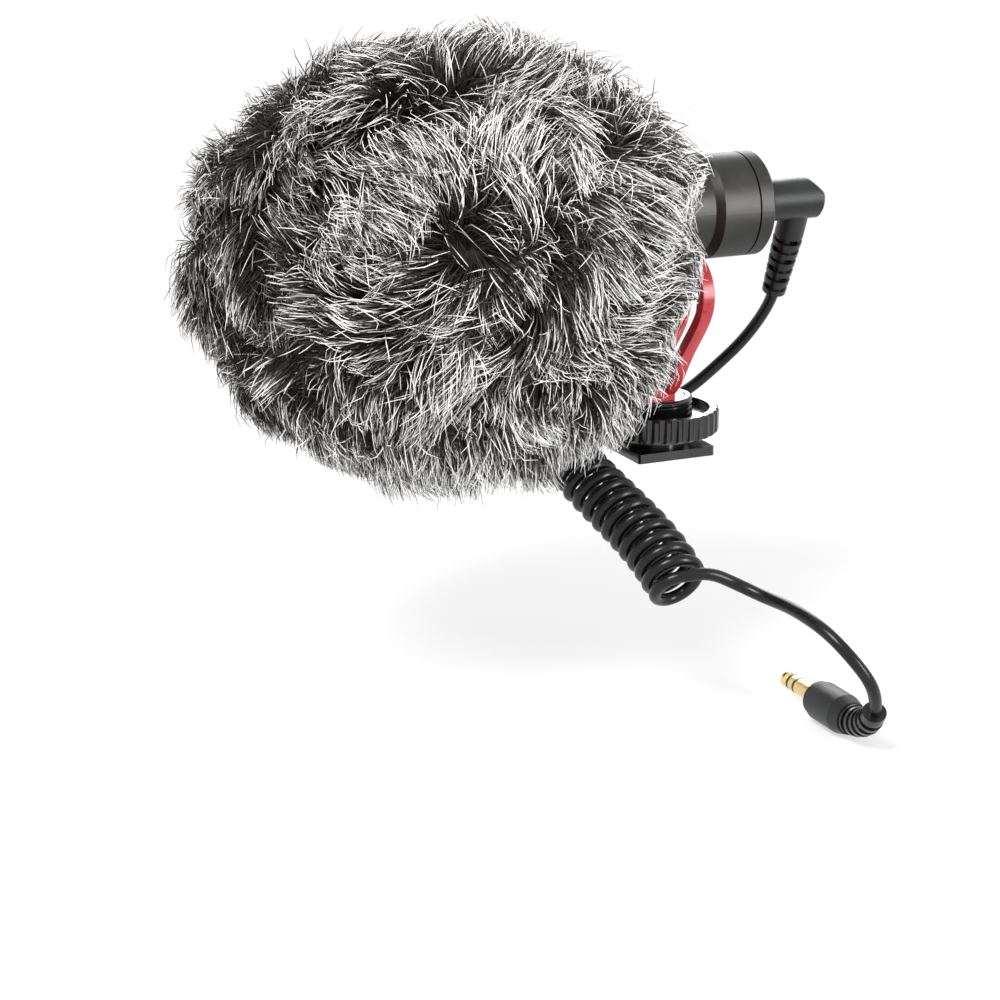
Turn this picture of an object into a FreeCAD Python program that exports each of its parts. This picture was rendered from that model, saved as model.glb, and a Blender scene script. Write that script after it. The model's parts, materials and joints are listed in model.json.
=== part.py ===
import FreeCAD, Part
import math
import os

# A compact camera-top microphone in millimetres. +Z is up, the front of the microphone points to -Y,
# and the origin is the centre of the shoe foot's underside, where a camera's shoe holds the part.

Vec = FreeCAD.Vector

# Fits that several pieces share
push_gap = 0.05
board_gap = 0.3
cloth_gap = 0.3
tiny_share = 0.0001
overrun = 1.0
upright_share = 0.9
hex_sides = 6

# Shoe foot, neck and threaded stud
foot_width = 18.6
foot_length = 18.0
foot_thickness = 2.0
foot_edge = 0.4
neck_radius = 6.0
neck_height = 1.8
stud_radius = 7.45
stud_height = 8.4
thread_pitch = 1.0
thread_depth = 0.5
thread_gap = 0.06
thread_flank_shares = ((0.10, 0.0), (0.40, 1.0), (0.65, 1.0), (0.95, 0.0))
stud_groove_radius = 5.9
stud_groove_width = 0.3
stud_groove_depth = 0.3

# Clamp washer and knurled lock ring, clamped down on the shoe's rails
rail_gap = 1.5
washer_radius = 10.0
washer_thickness = 1.0
washer_edge = 0.2
ring_radius = 13.1
ring_height = 5.1
ring_edge = 0.45
ring_recess_radius = 11.2
ring_recess_depth = 1.5
rib_count = 32
rib_groove_radius = 0.95
rib_depth = 0.7

# Screw and nut that hold the shock mount on the stud
screw_radius = 1.5
screw_gap = 0.1
screw_head_radius = 2.7
screw_head_height = 1.6
screw_head_sink = 0.2
socket_width = 2.0
socket_depth = 0.9
nut_radius = 2.6
nut_height = 1.8

# Red shock mount: two hoops on one base, each ending in an open clip round the waist
hoop_half_width = 22.7
hoop_depth = 2.7
hoop_thickness = 2.3
hoop_rear_y = 0.9
lyre_span = 8.2
lyre_base_width = 12.6
lyre_base_height = 2.4
lyre_base_edge = 0.3
clip_thickness = 1.9
clip_open_angle = 112.0
clip_join_angle = -24.0
arm_edge_steps = 36
arm_shares = [(0.215, 0.045), (0.379, 0.136), (0.493, 0.232), (0.643, 0.348), (0.850, 0.492),
              (0.947, 0.615), (0.895, 0.728), (0.705, 0.815)]

# Microphone body
mic_axis_height = 51.9
mic_rear_y = 21.6
mic_length = 81.5
mic_radius = 11.0
mic_wall = 1.0
mic_edge = 0.5
cap_length = 3.4
cap_groove = 0.4
cap_groove_depth = 0.6
barrel_length = 8.2
bevel_length = 1.5
waist_radius = 9.5
waist_wall = 1.3
waist_length = 22.0
spigot_length = 6.0

# Slots, cloth and front grille of the front tube
slot_rows = 7
slot_width = 2.0
slot_pitch = 4.4
slot_arc = 104.0
slot_start = 7.0
cloth_thickness = 0.3
lip_width = 1.2
lip_depth = 0.8
grille_thickness = 0.6
grille_hole_radius = 0.6
grille_hole_pitch = 1.9
grille_rings = 4
grille_ring_length = 1.6

# Capsule
capsule_radius = 7.0
capsule_length = 9.0
capsule_wall = 0.5
capsule_to_spigot = 1.0
capsule_hole_radius = 0.7
capsule_hole_circle = 4.0
capsule_hole_count = 6
mount_rib_length = 2.0
diaphragm_thickness = 0.12
spacer_thickness = 0.5
spacer_width = 0.8
backplate_thickness = 0.9
backplate_hole_radius = 0.5
backplate_hole_circle = 3.2
rear_board_thickness = 1.0

# Circuit board with its parts, and the leads from the capsule
board_thickness = 1.0
board_drop = 2.6
board_length = 24.0
board_front_inset = 4.0
chip_size = 4.0
chip_height = 1.1
chip_offset = 4.5
can_radius = 2.2
can_height = 4.2
can_offset = 15.5
resistor_length = 2.0
resistor_width = 1.2
resistor_height = 0.5
resistor_pitch = 3.0
resistor_count = 4
resistor_side = 4.6
lead_radius = 0.4
lead_spread = 2.0

# 3.5 mm jack in the rear cap
jack_wall = 1.6
jack_nose_radius = 3.0
jack_body_radius = 4.2
jack_body_length = 12.6
jack_nose_step = 0.3
jack_slot_width = 1.4
jack_slot_inset = 0.6
contact_thickness = 0.3
contact_width = 1.0
contact_gap = 0.15
nut_ring_radius = 4.4
nut_ring_height = 0.9
nut_notch_width = 1.0
nut_notch_depth = 0.3

# 3.5 mm plug pins, the same on both ends of the cord
pin_radius = 1.75
pin_gap = 0.06
pin_sleeve = 7.2
pin_insulator = 0.8
pin_ring = 1.6
pin_tip = 3.6
tip_length_shares = (0.0, 0.10, 0.28, 0.40, 0.58, 1.0)
tip_radius_shares = (0.86, 0.86, 0.62, 0.90, 0.98, 0.30)

# Angled plug at the microphone
plug_lean = 23.0
plug_face_gap = 0.3
plug_length = 15.6
plug_body_radius = 4.4
plug_edge = 0.5
plug_chamfer_length = 2.8
plug_chamfer_height = 3.2
stem_from_face = 11.3
stem_radius = 3.05
stem_end_radius = 3.15
stem_length = 9.0
relief_length = 14.8
relief_radius = 3.25
relief_end_radius = 2.6
relief_rings = 6
relief_ridge = 0.5
relief_slot_share = 0.5
relief_slot_width = 1.9
relief_bridge = 1.3
relief_bridge_share = 0.9
bridge_reach_share = 1.6

# Straight plug at the camera
camera_plug_x = 48.3
camera_plug_y = 13.0
camera_plug_z = -42.4
camera_plug_length = 13.0
camera_plug_radius = 4.15
camera_plug_neck_radius = 3.7
camera_plug_end_radius = 3.45
camera_plug_neck = 1.4
camera_relief_bend = 13.0
camera_relief_angle = 55.0
camera_relief_roll = 15.0
camera_relief_radius = 3.2
camera_relief_end_radius = 2.3
camera_relief_rings = 6

# Cord
cord_diameter = 2.6
near_route = [(-16.3, 30.4, 18.0), (-19.6, 25.0, 11.5), (-20.9, 18.0, 5.8), (-22.3, 9.8, 3.0),
              (-22.8, 1.1, 2.0), (-20.5, -7.3, 1.5), (-13.8, -12.8, 0.9), (-5.1, -12.8, -0.1)]
near_plug_run = 3.5
near_coil_run = 5.2
far_route = [(44.9, -5.0, -16.3), (49.5, -1.2, -18.2), (56.0, 0.3, -18.3), (62.9, 0.6, -18.5),
             (69.6, 1.8, -20.0), (74.5, 4.4, -24.0), (75.9, 8.2, -29.4)]
far_plug_run = 2.8
far_coil_run = 2.4
arc_share = 0.45

# Curly stretch of the cord
coil_start = Vec(6.0, -24.0, 2.6)
coil_near_bow = Vec(16.9, -21.0, -4.7)
coil_far_bow = Vec(29.1, -15.7, -8.9)
coil_end = Vec(40.6, -15.6, -17.4)
coil_start_radius = 4.8
coil_end_radius = 5.3
coil_turns = 12.5
coil_start_angle = -90.0
coil_last_shrink_share = 0.12
coil_samples_per_turn = 60
arcs_per_turn = 4

# Fur windshield
fur_centre_y = -48.0
fur_half_length = 54.0
fur_radius = 44.0
fur_drop = 3.4
fur_back_y = -11.0
foam_radius = 16.5
foam_nose = 10.0
foam_dome = 9.0
dome_steps = 14
fur_back_steps = 8
foam_rear_y = -16.5
lining_thickness = 1.2
cuff_thickness = 2.6
cuff_length = 3.0

# Places that follow from the sizes above
stud_base_z = foot_thickness + neck_height
stud_top_z = stud_base_z + stud_height
washer_z = foot_thickness + rail_gap
ring_z = washer_z + washer_thickness
stud_bore_radius = stud_radius + thread_gap
cap_front_y = mic_rear_y - cap_length
barrel_rear_y = cap_front_y - cap_groove
bevel_rear_y = barrel_rear_y - barrel_length
waist_rear_y = bevel_rear_y - bevel_length
waist_front_y = waist_rear_y - waist_length
tube_rear_y = waist_front_y - bevel_length
mic_front_y = mic_rear_y - mic_length
spigot_front_y = tube_rear_y - spigot_length
tube_bore = mic_radius - mic_wall
spigot_radius = tube_bore - push_gap
waist_bore = waist_radius - waist_wall
capsule_rear_y = spigot_front_y - capsule_to_spigot
capsule_front_y = capsule_rear_y - capsule_length
stack_radius = capsule_radius - capsule_wall - push_gap
stack_front_y = capsule_front_y + capsule_wall
film_y = stack_front_y + spacer_thickness
gap_y = film_y + diaphragm_thickness
backplate_y = gap_y + spacer_thickness
backplate_rear_y = backplate_y + backplate_thickness
board_top_z = mic_axis_height - board_drop
board_low_z = board_top_z - board_thickness
board_half = math.sqrt(waist_bore ** 2 - (board_drop + board_thickness) ** 2) - board_gap
board_front_y = spigot_front_y + board_front_inset
cap_spigot_y = barrel_rear_y - spigot_length
jack_bore = pin_radius + pin_gap
jack_wall_y = mic_rear_y - jack_wall
jack_front_y = jack_wall_y - jack_body_length
plug_face_y = mic_rear_y + plug_face_gap
foam_tip_y = mic_front_y - cloth_gap - foam_nose
pin_length = pin_sleeve + pin_insulator + pin_ring + pin_insulator + pin_tip
cord_radius = cord_diameter / 2
lyre_middle_y = hoop_rear_y - lyre_span / 2

mic_place = FreeCAD.Placement(Vec(0, 0, mic_axis_height), FreeCAD.Rotation(Vec(1, 0, 0), -90))
plug_lean_turn = FreeCAD.Rotation(Vec(0, 0, 1), plug_lean)
plug_face_place = mic_place.multiply(FreeCAD.Placement(Vec(0, 0, plug_face_y), plug_lean_turn))
camera_roll = FreeCAD.Rotation(Vec(0, 0, 1), camera_relief_roll)
camera_turn = FreeCAD.Rotation(Vec(1, 0, 1), 180).multiply(camera_roll)
camera_place = FreeCAD.Placement(Vec(camera_plug_x, camera_plug_y, camera_plug_z), camera_turn)
lyre_place = FreeCAD.Placement(Vec(0, lyre_middle_y, 0), FreeCAD.Rotation())


def turned(outline):
    """A solid of revolution about Z from (height, radius) points."""
    points = [Vec(radius, 0, height) for height, radius in outline]
    face = Part.Face(Part.makePolygon(points + [points[0]]))
    return face.revolve(Vec(0, 0, 0), Vec(0, 0, 1), 360)


def disc(radius, low, high):
    return turned([(low, 0), (low, radius), (high, radius), (high, 0)])


def pipe_ring(outer, inner, low, high):
    return turned([(low, inner), (low, outer), (high, outer), (high, inner)])


def block(size_x, size_y, size_z, centre_x, centre_y, low_z):
    return Part.makeBox(size_x, size_y, size_z, Vec(centre_x - size_x / 2, centre_y - size_y / 2, low_z))


def placed(shape, place):
    moved = shape.copy()
    moved.Placement = place.multiply(moved.Placement)
    return moved


def on_mic(shape):
    return placed(shape, mic_place)


def sector(radius, low, high, middle_angle, spread):
    """A pie slice of a cylinder about Z, centred on middle_angle."""
    slice_ = Part.makeCylinder(radius, high - low, Vec(0, 0, low), Vec(0, 0, 1), spread)
    slice_.rotate(Vec(0, 0, 0), Vec(0, 0, 1), middle_angle - spread / 2)
    return slice_


def around(radius, count, first=0.0):
    """Points on a circle about the origin."""
    angles = [math.radians(first + 360.0 * i / count) for i in range(count)]
    return [Vec(radius * math.cos(a), radius * math.sin(a), 0) for a in angles]


def thread_outline(radius, depth, pitch, low, high):
    """(height, radius) points of a ridged rod between two heights."""
    root = radius - depth
    points = [(low, 0), (low, root)]
    ridges = int((high - low) / pitch)
    start = high - ridges * pitch
    for i in range(ridges):
        for along_share, out_share in thread_flank_shares:
            points.append((start + (i + along_share) * pitch, root + out_share * depth))
    points.append((high, root))
    points.append((high, 0))
    return points


def shoe_foot():
    plate = block(foot_width, foot_length, foot_thickness, 0, 0, 0)
    upright = [e for e in plate.Edges if abs(e.tangentAt(e.FirstParameter).z) > upright_share]
    plate = plate.makeChamfer(foot_edge, upright)
    neck = disc(neck_radius, foot_thickness - foot_edge, stud_base_z)
    stud = turned(thread_outline(stud_radius, thread_depth, thread_pitch, stud_base_z, stud_top_z))
    solid = plate.fuse([neck, stud])
    bore = placed(disc(screw_radius + screw_gap, -overrun, stud_top_z + overrun), lyre_place)
    head_high = screw_head_sink + screw_head_height
    head_room = placed(disc(screw_head_radius + screw_gap, -overrun, head_high), lyre_place)
    groove = pipe_ring(stud_groove_radius, stud_groove_radius - stud_groove_width,
                       stud_top_z - stud_groove_depth, stud_top_z + overrun)
    return solid.cut([bore, head_room, groove]).removeSplitter()


def clamp_washer():
    high = washer_z + washer_thickness
    outline = [(washer_z, stud_bore_radius), (washer_z, washer_radius - washer_edge),
               (washer_z + washer_edge, washer_radius), (high - washer_edge, washer_radius),
               (high, washer_radius - washer_edge), (high, stud_bore_radius)]
    return turned(outline)


def lock_ring():
    top = ring_z + ring_height
    floor = top - ring_recess_depth
    rim = [(ring_z, stud_bore_radius), (ring_z, ring_radius - ring_edge), (ring_z + ring_edge, ring_radius),
           (top - ring_edge, ring_radius), (top, ring_radius - ring_edge), (top, ring_recess_radius),
           (floor, ring_recess_radius), (floor, stud_bore_radius)]
    groove_circle = ring_radius + rib_groove_radius - rib_depth
    grooves = [Part.makeCylinder(rib_groove_radius, ring_height + 2 * overrun,
                                 p + Vec(0, 0, ring_z - overrun)) for p in around(groove_circle, rib_count)]
    return turned(rim).cut(grooves)


def lyre_screw():
    head_top = screw_head_sink + screw_head_height
    tip = stud_top_z + nut_height
    head = disc(screw_head_radius, screw_head_sink, head_top)
    shank = disc(screw_radius, screw_head_sink, tip)
    half = socket_width / 2 / math.cos(math.pi / hex_sides)
    corners = [p + Vec(0, 0, screw_head_sink - overrun) for p in around(half, hex_sides)]
    socket = Part.Face(Part.makePolygon(corners + [corners[0]])).extrude(Vec(0, 0, overrun + socket_depth))
    return placed(head.fuse(shank).cut(socket).removeSplitter(), lyre_place)


def lyre_nut():
    corners = [p + Vec(0, 0, stud_top_z) for p in around(nut_radius, hex_sides)]
    hexagon = Part.Face(Part.makePolygon(corners + [corners[0]])).extrude(Vec(0, 0, nut_height))
    bore = disc(screw_radius + push_gap, stud_top_z - overrun, stud_top_z + nut_height + overrun)
    return placed(hexagon.cut(bore), lyre_place)


def hoop_face():
    """The outline of one hoop in the X-Z plane: both arms and the open clip."""
    rise = mic_axis_height - stud_top_z
    clip_inner = waist_radius + push_gap
    clip_outer = clip_inner + clip_thickness
    join = math.radians(clip_join_angle)
    middle = [Vec(sx * hoop_half_width, 0, stud_top_z + sz * rise) for sx, sz in arm_shares]
    middle.append(Vec(clip_outer * math.cos(join), 0, mic_axis_height + clip_outer * math.sin(join)))
    inward = clip_inner + clip_thickness / 2
    middle.append(Vec(inward * math.cos(join), 0, mic_axis_height + inward * math.sin(join)))
    line = Part.BSplineCurve()
    line.interpolate(middle)
    first, last = line.FirstParameter, line.LastParameter
    sides = []
    for side in (1, -1):
        edge_points = []
        for i in range(arm_edge_steps + 1):
            u = first + (last - first) * i / arm_edge_steps
            tangent = line.tangent(u)[0]
            normal = Vec(tangent.z, 0, -tangent.x)
            edge_points.append(line.value(u) + normal * (side * hoop_thickness / 2))
        curve = Part.BSplineCurve()
        curve.interpolate(edge_points)
        sides.append((curve.toShape(), edge_points))
    start_cap = Part.makeLine(sides[0][1][0], sides[1][1][0])
    end_cap = Part.makeLine(sides[0][1][-1], sides[1][1][-1])
    arm = Part.Face(Part.Wire(Part.__sortEdges__([sides[0][0], sides[1][0], start_cap, end_cap])))
    return arm, clip_inner, clip_outer


def lyre():
    arm, clip_inner, clip_outer = hoop_face()
    hoops = []
    for front in (hoop_rear_y - hoop_depth, hoop_rear_y - lyre_span):
        right = arm.extrude(Vec(0, hoop_depth, 0))
        right.translate(Vec(0, front, 0))
        left = right.mirror(Vec(0, 0, 0), Vec(1, 0, 0))
        clip = pipe_ring(clip_outer, clip_inner, front, front + hoop_depth)
        clip = clip.cut(sector(clip_outer + overrun, front - overrun, front + hoop_depth + overrun,
                               -90, clip_open_angle))
        hoops += [right, left, on_mic(clip)]
    base = block(lyre_base_width, lyre_span, lyre_base_height, 0, lyre_middle_y, stud_top_z)
    base = base.makeChamfer(lyre_base_edge, [e for e in base.Edges if e.BoundBox.ZMin > stud_top_z])
    solid = base.fuse(hoops)
    bore = Part.makeCylinder(clip_inner, lyre_span + 2 * overrun,
                             Vec(0, hoop_rear_y - lyre_span - overrun, mic_axis_height), Vec(0, 1, 0))
    nut_room = disc(nut_radius + push_gap, stud_top_z - overrun, stud_top_z + nut_height + push_gap)
    screw_room = disc(screw_radius + screw_gap, stud_top_z, stud_top_z + lyre_base_height + overrun)
    rooms = [placed(room, lyre_place) for room in (nut_room, screw_room)]
    return solid.cut([bore] + rooms).removeSplitter()


def front_tube():
    lip_rear = mic_front_y + lip_depth
    outline = [(mic_front_y, tube_bore - lip_width), (mic_front_y, mic_radius - mic_edge),
               (mic_front_y + mic_edge, mic_radius), (tube_rear_y, mic_radius), (tube_rear_y, tube_bore),
               (lip_rear, tube_bore), (lip_rear, tube_bore - lip_width)]
    tools = []
    for i in range(slot_rows):
        low = mic_front_y + slot_start + i * slot_pitch
        for middle in (0, 180):
            tools.append(sector(mic_radius + overrun, low, low + slot_width, middle, slot_arc))
    return on_mic(turned(outline).cut(tools))


def front_grille():
    low = mic_front_y + lip_depth
    plate = disc(spigot_radius, low, low + grille_thickness)
    holes = [disc(grille_hole_radius, low - overrun, low + grille_thickness + overrun)]
    for row in range(1, grille_rings + 1):
        for p in around(row * grille_hole_pitch, hex_sides * row):
            holes.append(Part.makeCylinder(grille_hole_radius, grille_thickness + 2 * overrun,
                                           p + Vec(0, 0, low - overrun)))
    return on_mic(plate.cut(holes))


def grille_ring():
    low = mic_front_y + lip_depth + grille_thickness
    return on_mic(pipe_ring(spigot_radius, spigot_radius - lip_width, low, low + grille_ring_length))


def slot_cloth():
    low = mic_front_y + lip_depth + grille_thickness + grille_ring_length
    return on_mic(pipe_ring(spigot_radius, spigot_radius - cloth_thickness, low, capsule_front_y))


def rear_barrel():
    outline = [(spigot_front_y, waist_bore), (spigot_front_y, spigot_radius), (tube_rear_y, spigot_radius),
               (tube_rear_y, mic_radius), (waist_front_y, waist_radius), (waist_rear_y, waist_radius),
               (bevel_rear_y, mic_radius), (barrel_rear_y, mic_radius), (barrel_rear_y, tube_bore),
               (cap_spigot_y, tube_bore), (cap_spigot_y, waist_bore)]
    return on_mic(turned(outline))


def rear_cap():
    neck = mic_radius - cap_groove_depth
    nut_seat = mic_rear_y - nut_ring_height
    outline = [(cap_spigot_y, spigot_radius - mic_wall), (cap_spigot_y, spigot_radius),
               (barrel_rear_y, spigot_radius), (barrel_rear_y, neck), (cap_front_y, neck),
               (cap_front_y, mic_radius), (mic_rear_y - mic_edge, mic_radius),
               (mic_rear_y, mic_radius - mic_edge), (mic_rear_y, nut_ring_radius + push_gap),
               (nut_seat, nut_ring_radius + push_gap), (nut_seat, jack_nose_radius + push_gap),
               (jack_wall_y, jack_nose_radius + push_gap), (jack_wall_y, spigot_radius - mic_wall)]
    return on_mic(turned(outline))


def jack_socket():
    nose_end = mic_rear_y - jack_nose_step
    outline = [(jack_front_y, 0), (jack_front_y, jack_body_radius), (jack_wall_y, jack_body_radius),
               (jack_wall_y, jack_nose_radius), (nose_end, jack_nose_radius), (nose_end, 0)]
    bore = disc(jack_bore, plug_face_y - pin_length - board_gap, mic_rear_y + overrun)
    low = jack_front_y + jack_slot_inset
    length = jack_wall_y - jack_slot_inset - low
    depth = jack_body_radius + overrun
    slots = [block(jack_slot_width, depth, length, 0, side * depth / 2, low) for side in (-1, 1)]
    return on_mic(turned(outline).cut([bore] + slots))


def jack_contacts():
    low = jack_front_y + jack_slot_inset + contact_gap
    length = jack_wall_y - jack_slot_inset - contact_gap - low
    leaves = []
    for side in (-1, 1):
        middle = side * (jack_bore + contact_gap + contact_thickness / 2)
        leaves.append(block(contact_width, contact_thickness, length, 0, middle, low))
    return on_mic(Part.makeCompound(leaves))


def jack_nut():
    low = mic_rear_y - nut_ring_height
    ring = pipe_ring(nut_ring_radius, jack_nose_radius + push_gap, low, mic_rear_y)
    notch_floor = mic_rear_y - nut_notch_depth
    notch = block(2 * (nut_ring_radius + overrun), nut_notch_width, overrun, 0, 0, notch_floor)
    return on_mic(ring.cut(notch))


def capsule_can():
    low = capsule_front_y
    high = capsule_rear_y
    inner = capsule_radius - capsule_wall
    outline = [(low, 0), (low, capsule_radius), (high, capsule_radius), (high, inner),
               (low + capsule_wall, inner), (low + capsule_wall, 0)]
    holes = [disc(capsule_hole_radius, low - overrun, low + capsule_wall + overrun)]
    for p in around(capsule_hole_circle, capsule_hole_count):
        holes.append(Part.makeCylinder(capsule_hole_radius, capsule_wall + 2 * overrun,
                                       p + Vec(0, 0, low - overrun)))
    return on_mic(turned(outline).cut(holes))


def diaphragm_ring():
    return on_mic(pipe_ring(stack_radius, stack_radius - spacer_width, stack_front_y, film_y))


def diaphragm():
    return on_mic(disc(stack_radius, film_y, gap_y))


def capsule_spacer():
    return on_mic(pipe_ring(stack_radius, stack_radius - spacer_width, gap_y, backplate_y))


def backplate():
    holes = []
    for p in around(backplate_hole_circle, capsule_hole_count):
        holes.append(Part.makeCylinder(backplate_hole_radius, backplate_thickness + 2 * overrun,
                                       p + Vec(0, 0, backplate_y - overrun)))
    return on_mic(disc(stack_radius, backplate_y, backplate_rear_y).cut(holes))


def capsule_sleeve():
    rear = capsule_rear_y - rear_board_thickness
    return on_mic(pipe_ring(stack_radius, stack_radius - spacer_width, backplate_rear_y, rear))


def capsule_rear_board():
    return on_mic(disc(stack_radius, capsule_rear_y - rear_board_thickness, capsule_rear_y))


def capsule_mount():
    inner = capsule_radius + push_gap
    low = capsule_front_y
    high = capsule_rear_y
    groove_low = low + mount_rib_length
    groove_high = high - mount_rib_length
    waist = (inner + spigot_radius) / 2
    outline = [(low, inner), (low, spigot_radius), (groove_low, spigot_radius), (groove_low, waist),
               (groove_high, waist), (groove_high, spigot_radius), (high, spigot_radius), (high, inner)]
    return on_mic(turned(outline))


def circuit_board():
    middle = board_front_y + board_length / 2
    return block(2 * board_half, board_length, board_thickness, 0, middle, board_low_z)


def board_parts():
    chip_y = board_front_y + chip_offset
    parts = [block(chip_size, chip_size, chip_height, 0, chip_y, board_top_z)]
    parts.append(Part.makeCylinder(can_radius, can_height, Vec(0, board_front_y + can_offset, board_top_z)))
    for i in range(resistor_count):
        for side in (-1, 1):
            parts.append(block(resistor_width, resistor_length, resistor_height, side * resistor_side,
                               chip_y + i * resistor_pitch, board_top_z))
    return Part.makeCompound(parts)


def route_wire(points, note=""):
    """Straight runs joined by tangent arcs that are as large as the runs allow."""
    edges = []
    radii = []
    last = points[0]
    for i in range(1, len(points) - 1):
        here = points[i]
        back = points[i - 1] - here
        ahead = points[i + 1] - here
        reach = arc_share * min(back.Length, ahead.Length)
        turn = math.pi - back.getAngle(ahead)
        arc_in = here + back.normalize() * reach
        arc_out = here + ahead.normalize() * reach
        radius = reach / math.tan(turn / 2)
        bisector = (back + ahead).normalize()
        middle = here + bisector * (radius / math.cos(turn / 2) - radius)
        edges.append(Part.LineSegment(last, arc_in).toShape())
        edges.append(Part.Arc(arc_in, middle, arc_out).toShape())
        radii.append(radius)
        last = arc_out
    edges.append(Part.LineSegment(last, points[-1]).toShape())
    wire = Part.Wire(edges)
    if note:
        print(note, "length", round(wire.Length, 2), "radii", [round(r, 1) for r in radii])
    return wire


def swept(wire, radius, note=""):
    """A round tube along a wire, with its volume compared with section times length."""
    edge = wire.OrderedEdges[0]
    start = edge.valueAt(edge.FirstParameter)
    tangent = edge.tangentAt(edge.FirstParameter)
    section = Part.Wire(Part.makeCircle(radius, start, tangent))
    tube = wire.makePipeShell([section], True, False)
    if note:
        expected = math.pi * radius ** 2 * wire.Length
        print(note, "volume over section times length", round(tube.Volume / expected, 4))
    return tube


def capsule_leads():
    leads = []
    rise = board_top_z + lead_radius
    run = capsule_to_spigot
    for side in (-1, 1):
        x = side * lead_spread
        start = Vec(x, capsule_rear_y, mic_axis_height)
        points = [start, start + Vec(0, run, 0), Vec(x, spigot_front_y + run, rise),
                  Vec(x, board_front_y + 2 * run, rise)]
        leads.append(swept(route_wire(points), lead_radius))
    return Part.makeCompound(leads)


def dome_outline(tip, base, radius):
    """(height, radius) points of a quarter ellipse from a tip on the axis out to a base height."""
    points = []
    for i in range(dome_steps + 1):
        angle = math.pi / 2 * i / dome_steps
        points.append((base - (base - tip) * math.cos(angle), radius * math.sin(angle)))
    return points


def dome_solid(tip, base, radius, end):
    """A round bar with a domed front, from its tip to its flat end."""
    return turned(dome_outline(tip, base, radius) + [(end, radius), (end, 0)])


def foam_core():
    inner_front = mic_front_y - cloth_gap
    hull = dome_solid(foam_tip_y, foam_tip_y + foam_dome, foam_radius, foam_rear_y)
    return on_mic(hull.cut(disc(mic_radius + cloth_gap, inner_front, foam_rear_y + overrun)))


def cover_lining():
    inner = foam_radius + cloth_gap
    inner_tip = foam_tip_y - cloth_gap
    base = foam_tip_y + foam_dome
    rear = foam_rear_y + cloth_gap
    hull = dome_solid(inner_tip - lining_thickness, base, inner + lining_thickness, rear)
    return on_mic(hull.cut(dome_solid(inner_tip, base, inner, rear + overrun)))


def fur_cover():
    """The body the hair stands on: most of an ellipsoid with a flat back, hollow round the lining."""
    back_share = (fur_back_y - fur_centre_y) / fur_half_length
    outline = dome_outline(fur_centre_y - fur_half_length, fur_centre_y, fur_radius)
    for i in range(1, fur_back_steps + 1):
        share = back_share * i / fur_back_steps
        outline.append((fur_centre_y + share * fur_half_length, fur_radius * math.sqrt(1 - share ** 2)))
    outline.append((fur_back_y, 0))
    drop = FreeCAD.Placement(Vec(0, 0, mic_axis_height - fur_drop), mic_place.Rotation)
    body = placed(turned(outline), drop)
    clear = foam_radius + lining_thickness + 2 * cloth_gap
    tip = foam_tip_y - lining_thickness - 2 * cloth_gap
    return body.cut(on_mic(dome_solid(tip, foam_tip_y + foam_dome, clear, fur_back_y + overrun)))


def elastic_cuff():
    inner = mic_radius + cloth_gap
    outer = foam_radius + cloth_gap + lining_thickness
    low = foam_rear_y + 2 * cloth_gap
    band = cuff_thickness / 2
    outline = [(low, inner), (low, outer), (low + band, outer), (low + band, inner + cuff_thickness),
               (low + cuff_length, inner + cuff_thickness), (low + cuff_length, inner)]
    return on_mic(turned(outline))


def pin_pieces():
    """Sleeve, ring, tip and insulators of a 3.5 mm pin that points to -Z from the plug's face."""
    sleeve_end = -pin_sleeve
    ring_start = sleeve_end - pin_insulator
    ring_end = ring_start - pin_ring
    tip_start = ring_end - pin_insulator
    sleeve = disc(pin_radius, sleeve_end, 0)
    ring = disc(pin_radius, ring_end, ring_start)
    spacers = [disc(pin_radius, ring_start, sleeve_end), disc(pin_radius, tip_start, ring_end)]
    insulators = Part.makeCompound(spacers)
    outline = [(tip_start, 0)]
    for along, out in zip(tip_length_shares, tip_radius_shares):
        outline.append((tip_start - along * pin_tip, out * pin_radius))
    outline.append((tip_start - pin_tip, 0))
    return sleeve, ring, turned(outline), insulators


def placed_in_plug(shape):
    """Moves a shape whose Z starts at the plug's face into the leaning plug."""
    return placed(shape, plug_face_place)


def angle_plug_body():
    """A round bar with its upper rear cut off aslant, and the stem below it. The cut faces up, whatever
    the plug's lean."""
    outline = [(0, 0), (0, plug_body_radius - plug_edge / 2), (plug_edge / 2, plug_body_radius),
               (plug_length - plug_edge, plug_body_radius), (plug_length, plug_body_radius - plug_edge),
               (plug_length, 0)]
    side = plug_body_radius + overrun
    slope = plug_chamfer_length / plug_chamfer_height
    corner = [Vec(-side, -side, plug_length - plug_chamfer_length - overrun * slope),
              Vec(-side, -side, plug_length + overrun),
              Vec(-side, plug_chamfer_height - plug_body_radius + overrun / slope, plug_length + overrun)]
    wedge = Part.Face(Part.makePolygon(corner + [corner[0]])).extrude(Vec(2 * side, 0, 0))
    wedge = placed(wedge, FreeCAD.Placement(Vec(), plug_lean_turn.inverted()))
    stem = Part.makeCone(stem_radius, stem_end_radius, stem_length, Vec(0, 0, stem_from_face), Vec(0, 1, 0))
    return placed_in_plug(turned(outline).cut(wedge).fuse(stem).removeSplitter())


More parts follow.
